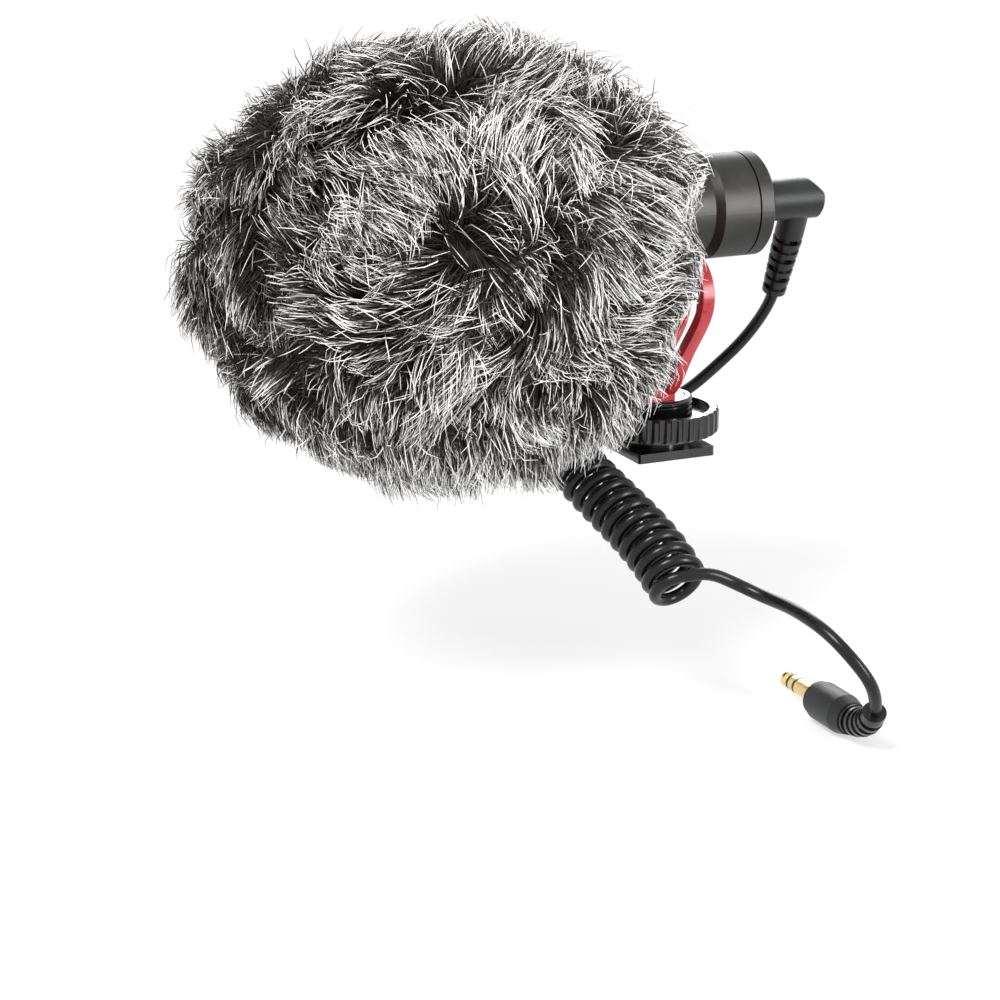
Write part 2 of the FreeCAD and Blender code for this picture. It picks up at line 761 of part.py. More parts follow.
def angle_plug_relief():
    """A tapering relief along +Z, with proud rings and a pair of slots before each, then stood on the
    end of the stem."""
    pieces = [disc(cord_radius, 0, relief_length)]
    pitch = relief_length / relief_rings
    slot = pitch * relief_slot_share
    taper = (relief_radius - relief_end_radius) / relief_length
    for i in range(relief_rings):
        low = i * pitch
        ring = low + slot
        high = low + pitch
        neck = relief_radius - taper * ring - relief_ridge
        width, depth = (relief_slot_width, 2 * neck) if i % 2 else (2 * neck, relief_slot_width)
        pieces.append(disc(neck, low, ring).cut(block(width, depth, slot, 0, 0, low)))
        pieces.append(turned([(ring, 0), (ring, relief_radius - taper * ring),
                              (high, relief_radius - taper * high), (high, 0)]))
    relief = pieces[0].fuse(pieces[1:]).removeSplitter()
    stand = FreeCAD.Placement(Vec(0, stem_length, stem_from_face), FreeCAD.Rotation(Vec(1, 0, 0), -90))
    return placed_in_plug(placed(relief, stand))


def camera_plug_body():
    end = camera_plug_length
    neck = camera_plug_neck
    outline = [(0, 0), (0, camera_plug_neck_radius), (neck, camera_plug_neck_radius),
               (neck, camera_plug_radius - ring_edge), (neck + ring_edge, camera_plug_radius),
               (end - 2 * neck, camera_plug_radius), (end, camera_plug_end_radius), (end, 0)]
    return placed(turned(outline), camera_place)


def camera_plug_relief():
    """A slotted relief that bends up: every ring is turned about the bend's own centre line."""
    centre = Vec(camera_relief_bend, 0, camera_plug_length)
    turn_axis = Vec(0, 1, 0)

    def bent(radius, start, spread):
        face = Part.Face(Part.Wire(Part.makeCircle(radius, Vec(0, 0, camera_plug_length), Vec(0, 0, 1))))
        piece = face.revolve(centre, turn_axis, spread)
        piece.rotate(centre, turn_axis, start)
        return piece

    pieces = [bent(cord_radius, 0, camera_relief_angle)]
    pitch = camera_relief_angle / camera_relief_rings
    slot = pitch * relief_slot_share
    for i in range(camera_relief_rings):
        share = i / camera_relief_rings
        radius = camera_relief_radius + (camera_relief_end_radius - camera_relief_radius) * share
        last = i == camera_relief_rings - 1
        pieces.append(bent(radius, i * pitch, pitch if last else pitch - slot))
        if not last:
            height = 2 * radius * relief_bridge_share
            width, depth = (relief_bridge, height) if i % 2 else (height, relief_bridge)
            reach = math.radians(slot) * camera_relief_bend * bridge_reach_share
            bridge = block(width, depth, reach, 0, 0, camera_plug_length - reach / 2)
            bridge.rotate(centre, turn_axis, (i + 1) * pitch - slot / 2)
            pieces.append(bridge)
    return placed(pieces[0].fuse(pieces[1:]).removeSplitter(), camera_place)


def near_exit():
    """Where the cord leaves the angled plug's relief, and in which direction."""
    end = plug_face_place.multVec(Vec(0, stem_length + relief_length, stem_from_face))
    return end, plug_face_place.Rotation.multVec(Vec(0, 1, 0))


def far_exit():
    """Where the cord leaves the camera plug's relief, and in which direction."""
    angle = math.radians(camera_relief_angle)
    end = Vec(camera_relief_bend * (1 - math.cos(angle)), 0,
              camera_plug_length + camera_relief_bend * math.sin(angle))
    leave = Vec(math.sin(angle), 0, math.cos(angle))
    return camera_place.multVec(end), camera_place.Rotation.multVec(leave)


def coil_point(share):
    """A point of the coil's centre line; share runs from 0 to 1 along the coil."""
    rest = 1 - share
    middle = coil_start * rest ** 3 + coil_end * share ** 3
    middle += (coil_near_bow * rest + coil_far_bow * share) * (3 * rest * share)
    along = (coil_near_bow - coil_start) * rest ** 2 + (coil_end - coil_far_bow) * share ** 2
    along = (along + (coil_far_bow - coil_near_bow) * (2 * rest * share)).normalize()
    side = Vec(0, 0, 1).cross(along).normalize()
    up = along.cross(side)
    turn = math.radians(coil_start_angle - 360 * coil_turns * share)
    last_turn = max(0.0, share * coil_turns - coil_turns + 1)
    radius = coil_start_radius * rest + coil_end_radius * share
    radius *= 1 - coil_last_shrink_share * last_turn * last_turn
    return middle + side * (radius * math.cos(turn)) + up * (radius * math.sin(turn))


def coil_direction(share):
    return (coil_point(share + tiny_share) - coil_point(share - tiny_share)).normalize()


def arc_between(start, corner, end):
    """The arc that leaves start and meets end along the two sides of an equal-sided corner."""
    chord_middle = (start + end) * 0.5
    half = (end - start).Length / 2
    turn = math.pi - (start - corner).getAngle(end - corner)
    bulge = half * math.tan(turn / 4)
    middle = chord_middle + (corner - chord_middle).normalize() * bulge
    return Part.Arc(start, middle, end).toShape()


def biarc(start, leave, end, arrive):
    """Two tangent arcs from start, along leave, to end, along arrive."""
    gap = end - start
    both = leave + arrive
    spread = 2 * (1 - leave.dot(arrive))
    reach = (math.sqrt(gap.dot(both) ** 2 + spread * gap.dot(gap)) - gap.dot(both)) / spread
    corner_a = start + leave * reach
    corner_b = end - arrive * reach
    joint = (corner_a + corner_b) * 0.5
    return [arc_between(start, corner_a, joint), arc_between(joint, corner_b, end)]


def cord_coil():
    pieces = math.ceil(arcs_per_turn * coil_turns)
    ends = coil_ends()
    edges = [Part.LineSegment(ends[0], coil_point(0)).toShape()]
    for i in range(pieces):
        a = i / pieces
        b = (i + 1) / pieces
        edges += biarc(coil_point(a), coil_direction(a), coil_point(b), coil_direction(b))
    edges.append(Part.LineSegment(coil_point(1), ends[1]).toShape())
    wire = Part.Wire(edges)
    print_coil_gap(wire)
    return swept(wire, cord_radius, "cord_coil")


def coil_ends():
    """The straight ends of the curly stretch, one cord diameter long."""
    first = coil_point(0) - coil_direction(0) * cord_diameter
    last = coil_point(1) + coil_direction(1) * cord_diameter
    return first, last


def print_coil_gap(wire):
    """Prints the curly stretch's length and its least gap to itself, measured on points."""
    samples = int(coil_samples_per_turn * coil_turns)
    points = wire.discretize(samples)
    skip = int(samples / coil_turns / 2)
    least = min((points[i] - points[j]).Length
                for i in range(0, samples, 2) for j in range(i + skip, min(samples, i + 3 * skip)))
    print("cord_coil length", round(wire.Length, 1), "least gap to itself", round(least - cord_diameter, 3))


def cord_near():
    start, leave = near_exit()
    end = coil_ends()[0]
    arrive = coil_direction(0)
    points = [start, start + leave * near_plug_run] + [Vec(*p) for p in near_route]
    points += [end - arrive * near_coil_run, end]
    return swept(route_wire(points, "cord_near"), cord_radius, "cord_near")


def cord_far():
    end, leave = far_exit()
    start = coil_ends()[1]
    points = [start, start + coil_direction(1) * far_coil_run] + [Vec(*p) for p in far_route]
    points += [end + leave * far_plug_run, end]
    return swept(route_wire(points, "cord_far"), cord_radius, "cord_far")


def all_nodes():
    sleeve, ring, tip, insulators = pin_pieces()
    nodes = {
        "shoe_foot": shoe_foot(),
        "clamp_washer": clamp_washer(),
        "lock_ring": lock_ring(),
        "lyre_screw": lyre_screw(),
        "lyre_nut": lyre_nut(),
        "lyre": lyre(),
        "front_tube": front_tube(),
        "front_grille": front_grille(),
        "grille_ring": grille_ring(),
        "slot_cloth": slot_cloth(),
        "rear_barrel": rear_barrel(),
        "rear_cap": rear_cap(),
        "jack_socket": jack_socket(),
        "jack_contacts": jack_contacts(),
        "jack_nut": jack_nut(),
        "capsule_can": capsule_can(),
        "diaphragm_ring": diaphragm_ring(),
        "diaphragm": diaphragm(),
        "capsule_spacer": capsule_spacer(),
        "backplate": backplate(),
        "capsule_sleeve": capsule_sleeve(),
        "capsule_rear_board": capsule_rear_board(),
        "capsule_mount": capsule_mount(),
        "circuit_board": circuit_board(),
        "board_parts": board_parts(),
        "capsule_leads": capsule_leads(),
        "foam_core": foam_core(),
        "cover_lining": cover_lining(),
        "fur_cover": fur_cover(),
        "elastic_cuff": elastic_cuff(),
        "angle_plug_body": angle_plug_body(),
        "angle_plug_relief": angle_plug_relief(),
        "angle_plug_sleeve": placed_in_plug(sleeve),
        "angle_plug_ring": placed_in_plug(ring),
        "angle_plug_tip": placed_in_plug(tip),
        "angle_plug_insulators": placed_in_plug(insulators),
        "cord_near": cord_near(),
        "cord_coil": cord_coil(),
        "cord_far": cord_far(),
        "camera_plug_body": camera_plug_body(),
        "camera_plug_relief": camera_plug_relief(),
        "camera_plug_sleeve": placed(sleeve, camera_place),
        "camera_plug_ring": placed(ring, camera_place),
        "camera_plug_tip": placed(tip, camera_place),
        "camera_plug_insulators": placed(insulators, camera_place),
    }
    return nodes


os.makedirs("parts", exist_ok=True)
for name, shape in all_nodes().items():
    if not shape.isValid() or not shape.Solids:
        print("check", name, "valid", shape.isValid(), "solids", len(shape.Solids))
    shape.exportStep("parts/" + name + ".step")
print("wrote", len(os.listdir("parts")), "parts")
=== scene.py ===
import json
import math

import bmesh
import bpy
import numpy as np
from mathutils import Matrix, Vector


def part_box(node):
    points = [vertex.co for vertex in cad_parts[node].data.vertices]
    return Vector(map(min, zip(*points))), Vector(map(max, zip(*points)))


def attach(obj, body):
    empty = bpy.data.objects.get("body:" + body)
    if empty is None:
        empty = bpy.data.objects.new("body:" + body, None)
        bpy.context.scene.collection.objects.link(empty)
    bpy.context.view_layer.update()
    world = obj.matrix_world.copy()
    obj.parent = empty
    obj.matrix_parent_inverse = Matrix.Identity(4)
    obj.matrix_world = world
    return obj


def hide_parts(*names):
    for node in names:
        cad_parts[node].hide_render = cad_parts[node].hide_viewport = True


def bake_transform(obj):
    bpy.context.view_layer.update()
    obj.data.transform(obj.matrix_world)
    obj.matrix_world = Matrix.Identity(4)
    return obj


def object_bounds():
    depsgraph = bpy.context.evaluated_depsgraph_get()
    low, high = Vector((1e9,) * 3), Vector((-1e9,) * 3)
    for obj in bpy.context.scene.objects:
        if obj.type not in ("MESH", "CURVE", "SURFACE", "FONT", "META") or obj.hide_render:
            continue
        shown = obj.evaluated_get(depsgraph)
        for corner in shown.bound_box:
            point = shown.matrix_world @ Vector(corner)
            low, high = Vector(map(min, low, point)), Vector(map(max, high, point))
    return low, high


# A compact on-camera microphone with a fur windshield, in metres. +Z is up and the front points to -Y.

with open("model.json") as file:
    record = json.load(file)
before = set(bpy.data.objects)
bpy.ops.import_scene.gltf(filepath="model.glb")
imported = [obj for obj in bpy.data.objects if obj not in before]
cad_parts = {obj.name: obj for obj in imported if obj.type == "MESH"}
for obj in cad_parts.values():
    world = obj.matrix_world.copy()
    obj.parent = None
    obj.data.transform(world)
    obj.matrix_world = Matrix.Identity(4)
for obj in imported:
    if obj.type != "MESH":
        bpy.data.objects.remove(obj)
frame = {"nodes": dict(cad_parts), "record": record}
cad_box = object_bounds()

mm = 0.001

# Camera, at the photograph's viewing angle: its place in metres, turn in degrees, lens in millimetres
camera_place = (0.5128, -0.2706, 0.1601)
camera_tilt = (73.5, 0.0, 65.5)
camera_lens = 100.8
camera_sensor = 36.0

# Cord: the route from the angled plug to the coil and on to the camera plug, with places in millimetres
cord_diameter = 2.6 * mm
cord_near_start = (-9.3, 33.2, 29.99)
cord_near_leave = (-0.39, 0.0, -0.92)
cord_near_route = [(-16.3, 30.4, 18.0), (-19.6, 25.0, 11.5), (-20.9, 18.0, 5.8), (-22.3, 9.8, 3.0),
                   (-22.8, 1.1, 2.0), (-20.5, -7.3, 1.5), (-13.8, -12.8, 0.9), (-5.1, -12.8, -0.1)]
cord_near_plug_run = 3.5
cord_near_coil_run = 5.2
cord_far_route = [(44.9, -5.0, -16.3), (49.5, -1.2, -18.2), (56.0, 0.3, -18.3), (62.9, 0.6, -18.5),
                  (69.6, 1.8, -20.0), (74.5, 4.4, -24.0), (75.9, 8.2, -29.4)]
cord_far_end = (71.95, 11.57, -37.05)
cord_far_leave = (0.57, -0.21, 0.79)
cord_far_plug_run = 2.8
cord_far_coil_run = 2.4
coil_start = (6.0, -24.0, 2.6)
coil_near_bow = (16.9, -21.0, -4.7)
coil_far_bow = (29.1, -15.7, -8.9)
coil_end = (40.6, -15.6, -17.4)
coil_start_radius = 4.8
coil_end_radius = 5.3
coil_turns = 12.5
coil_start_angle = -90.0
coil_last_shrink_share = 0.12
coil_points_per_turn = 16

# Microphone and the windshield's inner layers, in millimetres
mic_height = 51.9
barrel_radius = 11.0
fit_gap = 0.3
foam_dome = 9.0
foam_edge = 1.2
foam_grain = 0.07
lining_dome = 10.5
lining_wall = 1.2
lining_inset = 0.25
lining_ripple = 0.06
cuff_gap = 0.45
cuff_wall = 2.4
cuff_pleats = 46
cuff_pleat_depth = 0.22
lyre_edge = 0.28

# Skin that the hair grows from: an ellipsoid with a lowered top and a flat back, in millimetres
fur_centre = (0.0, -48.0, 47.5)
skin_half_length = 47.5
skin_radius = 38.0
skin_top_share = 0.93
skin_back = -12.5
skin_hole = 18.7
skin_lumps = 0.55

# Reach of the pile, in millimetres: an ellipsoid at its front, and sections behind it
pile_centre = (0.0, -48.0, 45.0)
pile_size = (44.0, 52.0, 48.0)
pile_front_y = -82.0
pile_front_blend = 10.0
pile_firm_share = 0.8
pile_y = (-104.0, -95.0, -88.0, -80.0, -69.0, -56.0, -46.0, -39.0, -24.0, -12.0, -1.0, 8.0)
pile_tops = (66.0, 81.5, 84.0, 86.5, 89.5, 91.5, 92.5, 93.5, 90.5, 87.5, 80.5, 70.0)
pile_lows = (32.0, 22.7, 15.4, 9.8, 3.1, -3.0, -2.2, -1.0, -0.5, 1.0, 11.0, 27.0)
pile_widths = (20.0, 31.0, 36.0, 40.0, 43.0, 45.0, 45.0, 44.0, 40.5, 36.0, 29.0, 22.0)
pile_rear_heights = (0.0, 5.0, 12.0, 20.0, 30.0, 36.0, 42.0, 48.0, 54.0, 60.0, 66.0, 72.0, 78.0, 90.0)
pile_rear_y = (-27.0, -23.0, -19.0, -14.5, -9.5, -5.0, -1.0, -0.5, -4.0, -2.0, 2.5, 4.0, 3.0, -8.0)
pile_rear_scatter = 1.3
pile_rear_slope = 0.45
pile_rear_flare = 5.0
tube_clear_y = (-17.0, -12.0, 7.0, 10.0)
tube_clear_radii = (18.0, barrel_radius + 0.7, barrel_radius + 0.7, 12.2)

# Hair: tufts gather clumps, and clumps gather strands; lengths and widths in millimetres
tuft_count = 340
clump_count = 2600
tuft_tone_range = (0.58, 1.2)
tuft_fullness_range = (0.86, 1.1)
strand_scatter_share = 0.022
loose_share = 0.18
loose_stray = 2.8
rear_growth_share = 0.28
bright_y = (-94.0, -80.0, -62.0, -25.0)
bright_y_share = (0.5, 0.8, 1.28, 1.35)
bright_z = (14.0, 34.0, 64.0, 80.0)
bright_z_share = (0.72, 1.0, 1.0, 0.72)
strand_sides = 3
hair_layers = [
    {"name": "ground", "count": 28000, "points": 4, "pieces": 4, "seed": 31, "length": (9.0, 13.0),
     "rise": (0.7, 1.4), "radius": 0.14, "stray": 0.34, "pull": (0.3, 0.85)},
    {"name": "guard", "count": 36000, "points": 6, "pieces": 7, "seed": 41, "length": (11.5, 18.0),
     "rise": (0.5, 1.3), "radius": 0.095, "stray": 0.26, "pull": (0.3, 0.9)},
]

# Floor and softboxes, in metres; a softbox has a place, width, height and watts, and faces the target
floor_drop = 0.2 * mm
floor_half_side = 4.0
light_target = (0.01, -0.02, 0.03)
softboxes = {
    "key_softbox": ((0.35, -0.55, 0.75), 0.36, 0.36, 10.5),
    "back_softbox": ((-0.8, 0.37, 0.36), 0.6, 0.36, 3.6),
    "side_softbox": ((0.75, 0.46, 0.13), 0.22, 0.6, 8.0),
}
world_fill = 0.62


class Wire:
    """A node's socket. Sums and products of it add Math nodes, so that 1 - mask works."""

    def __init__(self, tree, socket):
        self.tree = tree
        self.socket = socket

    def maths(self, operation, *values):
        return self.tree.node("ShaderNodeMath", {"operation": operation}, dict(enumerate(values)))

    def __add__(self, other):
        return self.maths("ADD", self, other)

    __radd__ = __add__

    def __sub__(self, other):
        return self.maths("SUBTRACT", self, other)

    def __rsub__(self, other):
        return self.maths("SUBTRACT", other, self)

    def __mul__(self, other):
        return self.maths("MULTIPLY", self, other)

    __rmul__ = __mul__

    def __pow__(self, other):
        return self.maths("POWER", self, other)


class Tree:
    """A node tree under construction, for a finish or for geometry."""

    def __init__(self, tree):
        self.tree = tree

    def node(self, kind, settings=None, inputs=None, output=0):
        """Adds a node: its settings first, then the values or links of its sockets."""
        made = self.tree.nodes.new(kind)
        for name, value in (settings or {}).items():
            if name == "stops":
                self.set_stops(made.color_ramp, value)
            else:
                setattr(made, name, value)
        self.feed(made, inputs or {})
        return Wire(self, made.outputs[output])

    def feed(self, made, inputs):
        for name, value in inputs.items():
            if isinstance(value, Wire):
                self.tree.links.new(value.socket, made.inputs[name])
            else:
                made.inputs[name].default_value = value

    def set_stops(self, ramp, stops):
        while len(ramp.elements) < len(stops):
            ramp.elements.new(1.0)
        for element, (place, colour) in zip(ramp.elements, stops):
            element.position = place
            element.color = opaque(colour)


def opaque(colour):
    return (*colour, 1.0)


def grey(value, warmth=0.0):
    """A colour near grey; warmth shifts it from blue to red."""
    return (value * (1 + warmth), value, value * (1 - warmth))


class Finish(Tree):
    """A material under construction, round its own surface shader."""

    def __init__(self, name, **constants):
        self.material = bpy.data.materials.new(name)
        self.material.use_nodes = True
        super().__init__(self.material.node_tree)
        self.surface = self.tree.nodes["Principled BSDF"]
        self.place = self.node("ShaderNodeTexCoord", output="Object")
        for name, value in constants.items():
            self.surface.inputs[name.replace("_", " ").title().replace("Ior", "IOR")].default_value = value

    def set(self, **values):
        """Feeds the surface: a wire for what varies, or a plain value."""
        self.feed(self.surface, {name.replace("_", " ").title(): value for name, value in values.items()})
        return self.material

    def stretched(self, stretch, place=None):
        """Object coordinates scaled along each axis."""
        return self.node("ShaderNodeMapping", inputs={"Vector": place or self.place, "Scale": stretch})

    def noise(self, size, detail=2.0, roughness=0.5, place=None):
        """Noise from 0 to 1 whose patches are about size metres wide."""
        inputs = {"Vector": place or self.place, "Scale": 1 / size, "Detail": detail, "Roughness": roughness}
        return self.node("ShaderNodeTexNoise", inputs=inputs)

    def cells(self, size, place=None, feature="F1"):
        inputs = {"Vector": place or self.place, "Scale": 1 / size}
        return self.node("ShaderNodeTexVoronoi", {"feature": feature}, inputs)

    def ramp(self, factor, *stops):
        return self.node("ShaderNodeValToRGB", {"stops": stops}, {"Fac": factor})

    def remap(self, value, low, high, to_low=0.0, to_high=1.0):
        inputs = {"Value": value, "From Min": low, "From Max": high, "To Min": to_low, "To Max": to_high}
        return self.node("ShaderNodeMapRange", inputs=inputs)

    def mix(self, factor, first, second):
        """A colour between two, by factor."""
        inputs = {0: factor}
        for socket, colour in ((6, first), (7, second)):
            inputs[socket] = colour if isinstance(colour, Wire) else opaque(colour)
        return self.node("ShaderNodeMix", {"data_type": "RGBA"}, inputs, 2)

    def bump(self, height, distance, strength=1.0, under=None):
        inputs = {"Height": height, "Distance": distance, "Strength": strength}
        if under:
            inputs["Normal"] = under
        return self.node("ShaderNodeBump", inputs=inputs)


# Finishes

# A wave texture's bands lie about this far apart at scale 1
wave_turns = 0.314


def anodised():
    """Dark grey bead-blasted and anodised aluminium."""
    f = Finish("dark_anodised", metallic=1.0)
    grain = f.noise(0.16 * mm, 3.0, 0.6)
    cloud = f.noise(9 * mm, 3.0)
    rub = f.remap(f.noise(1.6 * mm, 5.0, 0.7), 0.56, 0.74)
    tone = f.mix(f.remap(cloud, 0.35, 0.65), grey(0.05, 0.02), grey(0.062, 0.02))
    tone = f.mix(rub * 0.3, tone, grey(0.12, 0.02))
    return f.set(base_color=tone, roughness=f.remap(cloud + rub * 0.2, 0.3, 0.8, 0.42, 0.54),
                 normal=f.bump(grain, 0.02 * mm, 0.35))


def moulded(name, colour, light, low_gloss, high_gloss, grain_size, grain_depth, **constants):
    """Moulded plastic: a fine grain, faint flow clouds and small handling marks."""
    f = Finish(name, **constants)
    cloud = f.noise(6 * mm, 3.0)
    marks = f.remap(f.noise(0.9 * mm, 6.0, 0.75), 0.6, 0.78)
    grain = f.noise(grain_size, 2.0)
    tone = f.mix(f.remap(cloud, 0.3, 0.7), colour, light)
    tone = f.mix(marks * 0.25, tone, tuple(min(1.0, 1.8 * c + 0.01) for c in light))
    return f.set(base_color=tone, roughness=f.remap(cloud + marks * 0.5, 0.3, 1.0, low_gloss, high_gloss),
                 normal=f.bump(grain, grain_depth, 0.6))


def brushed(name, colour, roughness, around_y=True):
    """Turned or plated metal with fine tool lines."""
    f = Finish(name, metallic=1.0)
    stretch = (1.0, 30.0, 1.0) if around_y else (1.0, 1.0, 30.0)
    lines = f.noise(0.9 * mm, 4.0, 0.6, f.stretched(stretch))
    cloud = f.noise(2.5 * mm, 3.0)
    tone = f.mix(f.remap(cloud, 0.3, 0.7), tuple(0.86 * c for c in colour), colour)
    return f.set(base_color=tone, roughness=f.remap(lines, 0.2, 0.8, roughness, roughness + 0.16),
                 normal=f.bump(lines, 0.01 * mm, 0.4))


def woven(name, thread, gap, pitch, depth, roughness=0.85):
    """Plain weave on the piece's own map, in metres along its two directions."""
    f = Finish(name)
    chart = f.node("ShaderNodeTexCoord", output="UV")
    bands = {"Vector": chart, "Scale": wave_turns / pitch, "Distortion": 0.6, "Detail": 1.0}
    over, under = (f.node("ShaderNodeTexWave", {"wave_type": "BANDS", "bands_direction": way}, bands, "Fac")
                   for way in ("X", "Y"))
    cover = over.maths("MAXIMUM", over, under)
    fuzz = f.noise(0.2 * mm, 4.0, 0.7)
    tone = f.mix(f.remap(cover + fuzz * 0.3, 0.5, 1.2), gap, thread)
    return f.set(base_color=tone, roughness=f.remap(fuzz, 0.2, 0.8, roughness - 0.1, roughness + 0.1),
                 normal=f.bump(cover + fuzz * 0.4, depth))


def foam_finish():
    """Open-cell foam: pores of two sizes, painted darker inside as painted shade."""
    f = Finish("foam_pores", roughness=0.95)
    large = f.cells(1.1 * mm)
    small = f.cells(0.45 * mm)
    pit_depth_and_shade = f.remap(large * 0.6 + small * 0.4, 0.05, 0.5)
    # Painted shade: the pores are coloured darker than the cell walls, as if shade fell in them.
    tone = f.mix(pit_depth_and_shade, grey(0.012), grey(0.05))
    return f.set(base_color=tone, normal=f.bump(pit_depth_and_shade, 0.35 * mm))


def board_finish():
    """Green lacquer over copper tracks, with a light silk grid of pads."""
    f = Finish("board_lacquer", coat_weight=0.4)
    tracks = f.node("ShaderNodeTexBrick", {"offset": 0.5},
                    {"Vector": f.place, "Scale": 260.0, "Mortar Size": 0.03, "Brick Width": 0.9,
                     "Row Height": 0.3}, "Fac")
    pads = f.remap(f.cells(1.7 * mm), 0.24, 0.2)
    tone = f.mix(tracks, (0.006, 0.07, 0.03), (0.015, 0.16, 0.06))
    tone = f.mix(pads, tone, (0.75, 0.6, 0.32))
    return f.set(base_color=tone, roughness=f.remap(pads, 0.0, 1.0, 0.35, 0.25),
                 normal=f.bump(tracks + pads, 0.03 * mm))


def wire_finish():
    """Coloured insulation: one lead red, the other black, told apart by their side."""
    f = Finish("lead_insulation")
    side = f.node("ShaderNodeSeparateXYZ", inputs={"Vector": f.place}, output="X")
    tone = f.mix(side.maths("GREATER_THAN", side, 0.0), grey(0.02), (0.5, 0.02, 0.02))
    speck = f.noise(0.3 * mm, 3.0)
    return f.set(base_color=tone, roughness=f.remap(speck, 0.2, 0.8, 0.35, 0.5),
                 normal=f.bump(speck, 0.01 * mm))


def film_finish():
    """Metallised film with faint tension ripples."""
    f = Finish("gold_film", metallic=1.0)
    ripple = f.noise(2.2 * mm, 2.0)
    tone = f.mix(ripple, (0.72, 0.55, 0.28), (0.9, 0.74, 0.42))
    return f.set(base_color=tone, roughness=f.remap(ripple, 0.2, 0.8, 0.12, 0.22),
                 normal=f.bump(ripple, 0.03 * mm))


def cord_finish():
    """Smooth black cord rubber with faint clouds and dust."""
    f = Finish("cord_rubber", specular_ior_level=0.28)
    cloud = f.noise(3.5 * mm, 4.0)
    dust = f.remap(f.noise(0.35 * mm, 5.0, 0.8), 0.6, 0.8)
    tone = f.mix(f.remap(cloud, 0.3, 0.7), grey(0.004, -0.04), grey(0.007, -0.04))
    tone = f.mix(dust * 0.15, tone, grey(0.04))
    return f.set(base_color=tone, roughness=f.remap(cloud + dust * 0.4, 0.3, 1.0, 0.22, 0.36),
                 normal=f.bump(f.noise(0.5 * mm, 3.0), 0.015 * mm, 0.5))


def hair_finish():
    """Fur fibre: each strand carries its own tone from its dark root to its tip."""
    f = Finish("fur_fibre", specular_ior_level=0.22)
    tone = f.node("ShaderNodeAttribute", {"attribute_name": "tone"}, output="Fac")
    tint = f.node("ShaderNodeAttribute", {"attribute_name": "tint"}, output="Fac")
    colour = f.ramp(tone, (0.0, (0.006, 0.0055, 0.005)), (0.3, (0.045, 0.04, 0.038)),
                    (0.65, (0.42, 0.41, 0.405)), (0.95, (0.97, 0.97, 0.97)))
    brown = f.ramp(tone, (0.0, (0.008, 0.006, 0.005)), (0.3, (0.055, 0.043, 0.038)),
                   (0.65, (0.43, 0.40, 0.385)), (0.95, (0.95, 0.94, 0.93)))
    return f.set(base_color=f.mix(tint, colour, brown), roughness=f.remap(tone, 0.0, 1.0, 0.5, 0.4))


def underfur_finish():
    """Dense short pile seen between the strands: nearly black, with fine brown streaks."""
    f = Finish("underfur", roughness=0.9)
    streak = f.noise(0.7 * mm, 5.0, 0.7, f.stretched((1.0, 1.0, 0.35)))
    tuft = f.noise(5 * mm, 3.0)
    tone = f.ramp(streak * 0.6 + tuft * 0.4, (0.35, (0.004, 0.0035, 0.0035)), (0.6, (0.02, 0.016, 0.014)),
                  (0.75, (0.06, 0.052, 0.048)))
    return f.set(base_color=tone, normal=f.bump(streak, 0.8 * mm))


finishes = {
    "dark_metal": anodised(),
    "black_gloss": moulded("black_gloss", grey(0.005), grey(0.009), 0.12, 0.24, 0.4 * mm, 0.01 * mm,
                           specular_ior_level=0.7),
    "black_matte": moulded("black_matte", grey(0.008, -0.05), grey(0.014, -0.06), 0.34, 0.48, 0.16 * mm,
                           0.07 * mm, specular_ior_level=0.33),
    "washer_fibre": moulded("washer_fibre", (0.045, 0.036, 0.03), (0.075, 0.06, 0.048), 0.6, 0.8, 0.12 * mm,
                            0.04 * mm),
    "red_plastic": moulded("red_plastic", (0.33, 0.011, 0.019), (0.42, 0.018, 0.026), 0.28, 0.4, 0.35 * mm,
                           0.012 * mm),
    "cord_rubber": cord_finish(),
    "relief_rubber": moulded("relief_rubber", grey(0.006, -0.03), grey(0.01, -0.03), 0.22, 0.34, 0.3 * mm,
                             0.02 * mm, specular_ior_level=0.35),
    "steel": brushed("steel", (0.62, 0.61, 0.59), 0.26, False),
    "gold": brushed("gold_plate", (0.9, 0.66, 0.3), 0.16),
    "can_metal": brushed("can_metal", (0.66, 0.65, 0.62), 0.28),
    "film": film_finish(),
    "ring_plastic": moulded("ring_plastic", grey(0.03), grey(0.045), 0.4, 0.55, 0.3 * mm, 0.02 * mm),
    "insulator": moulded("insulator", grey(0.02), grey(0.03), 0.35, 0.5, 0.2 * mm, 0.01 * mm),
    "capsule_rubber": moulded("capsule_rubber", grey(0.02), grey(0.035), 0.6, 0.75, 0.25 * mm, 0.03 * mm),
    "board": board_finish(),
    "component": moulded("component", grey(0.025), grey(0.04), 0.45, 0.6, 0.15 * mm, 0.02 * mm),
    "wire": wire_finish(),
    "cloth": woven("slot_cloth", grey(0.035), grey(0.008), 0.5 * mm, 0.08 * mm),
    "foam": foam_finish(),
    "lining": woven("lining_cloth", grey(0.05), grey(0.012), 0.55 * mm, 0.1 * mm),
    "cuff": woven("cuff_band", grey(0.045), grey(0.01), 0.8 * mm, 0.16 * mm),
}
underfur_material = underfur_finish()
hair_material = hair_finish()
node_finish = {row["node"]: row["material_slot"] for row in frame["record"]["subparts"]}

for name, node in frame["nodes"].items():
    if node_finish[name] in finishes:
        for slot in node.material_slots:
            slot.material = finishes[node_finish[name]]


# Shapes

def add_object(name, data):
    made = bpy.data.objects.new(name, data)
    bpy.context.scene.collection.objects.link(made)
    return made


def plain_mesh(source, name):
    """The evaluated shape of an object as a plain mesh, with the source removed."""
    depsgraph = bpy.context.evaluated_depsgraph_get()
    mesh = bpy.data.meshes.new_from_object(source.evaluated_get(depsgraph))
    mesh.name = name
    bpy.data.objects.remove(source)
    return mesh


def unit(v):
    return v / np.linalg.norm(v, axis=-1, keepdims=True)


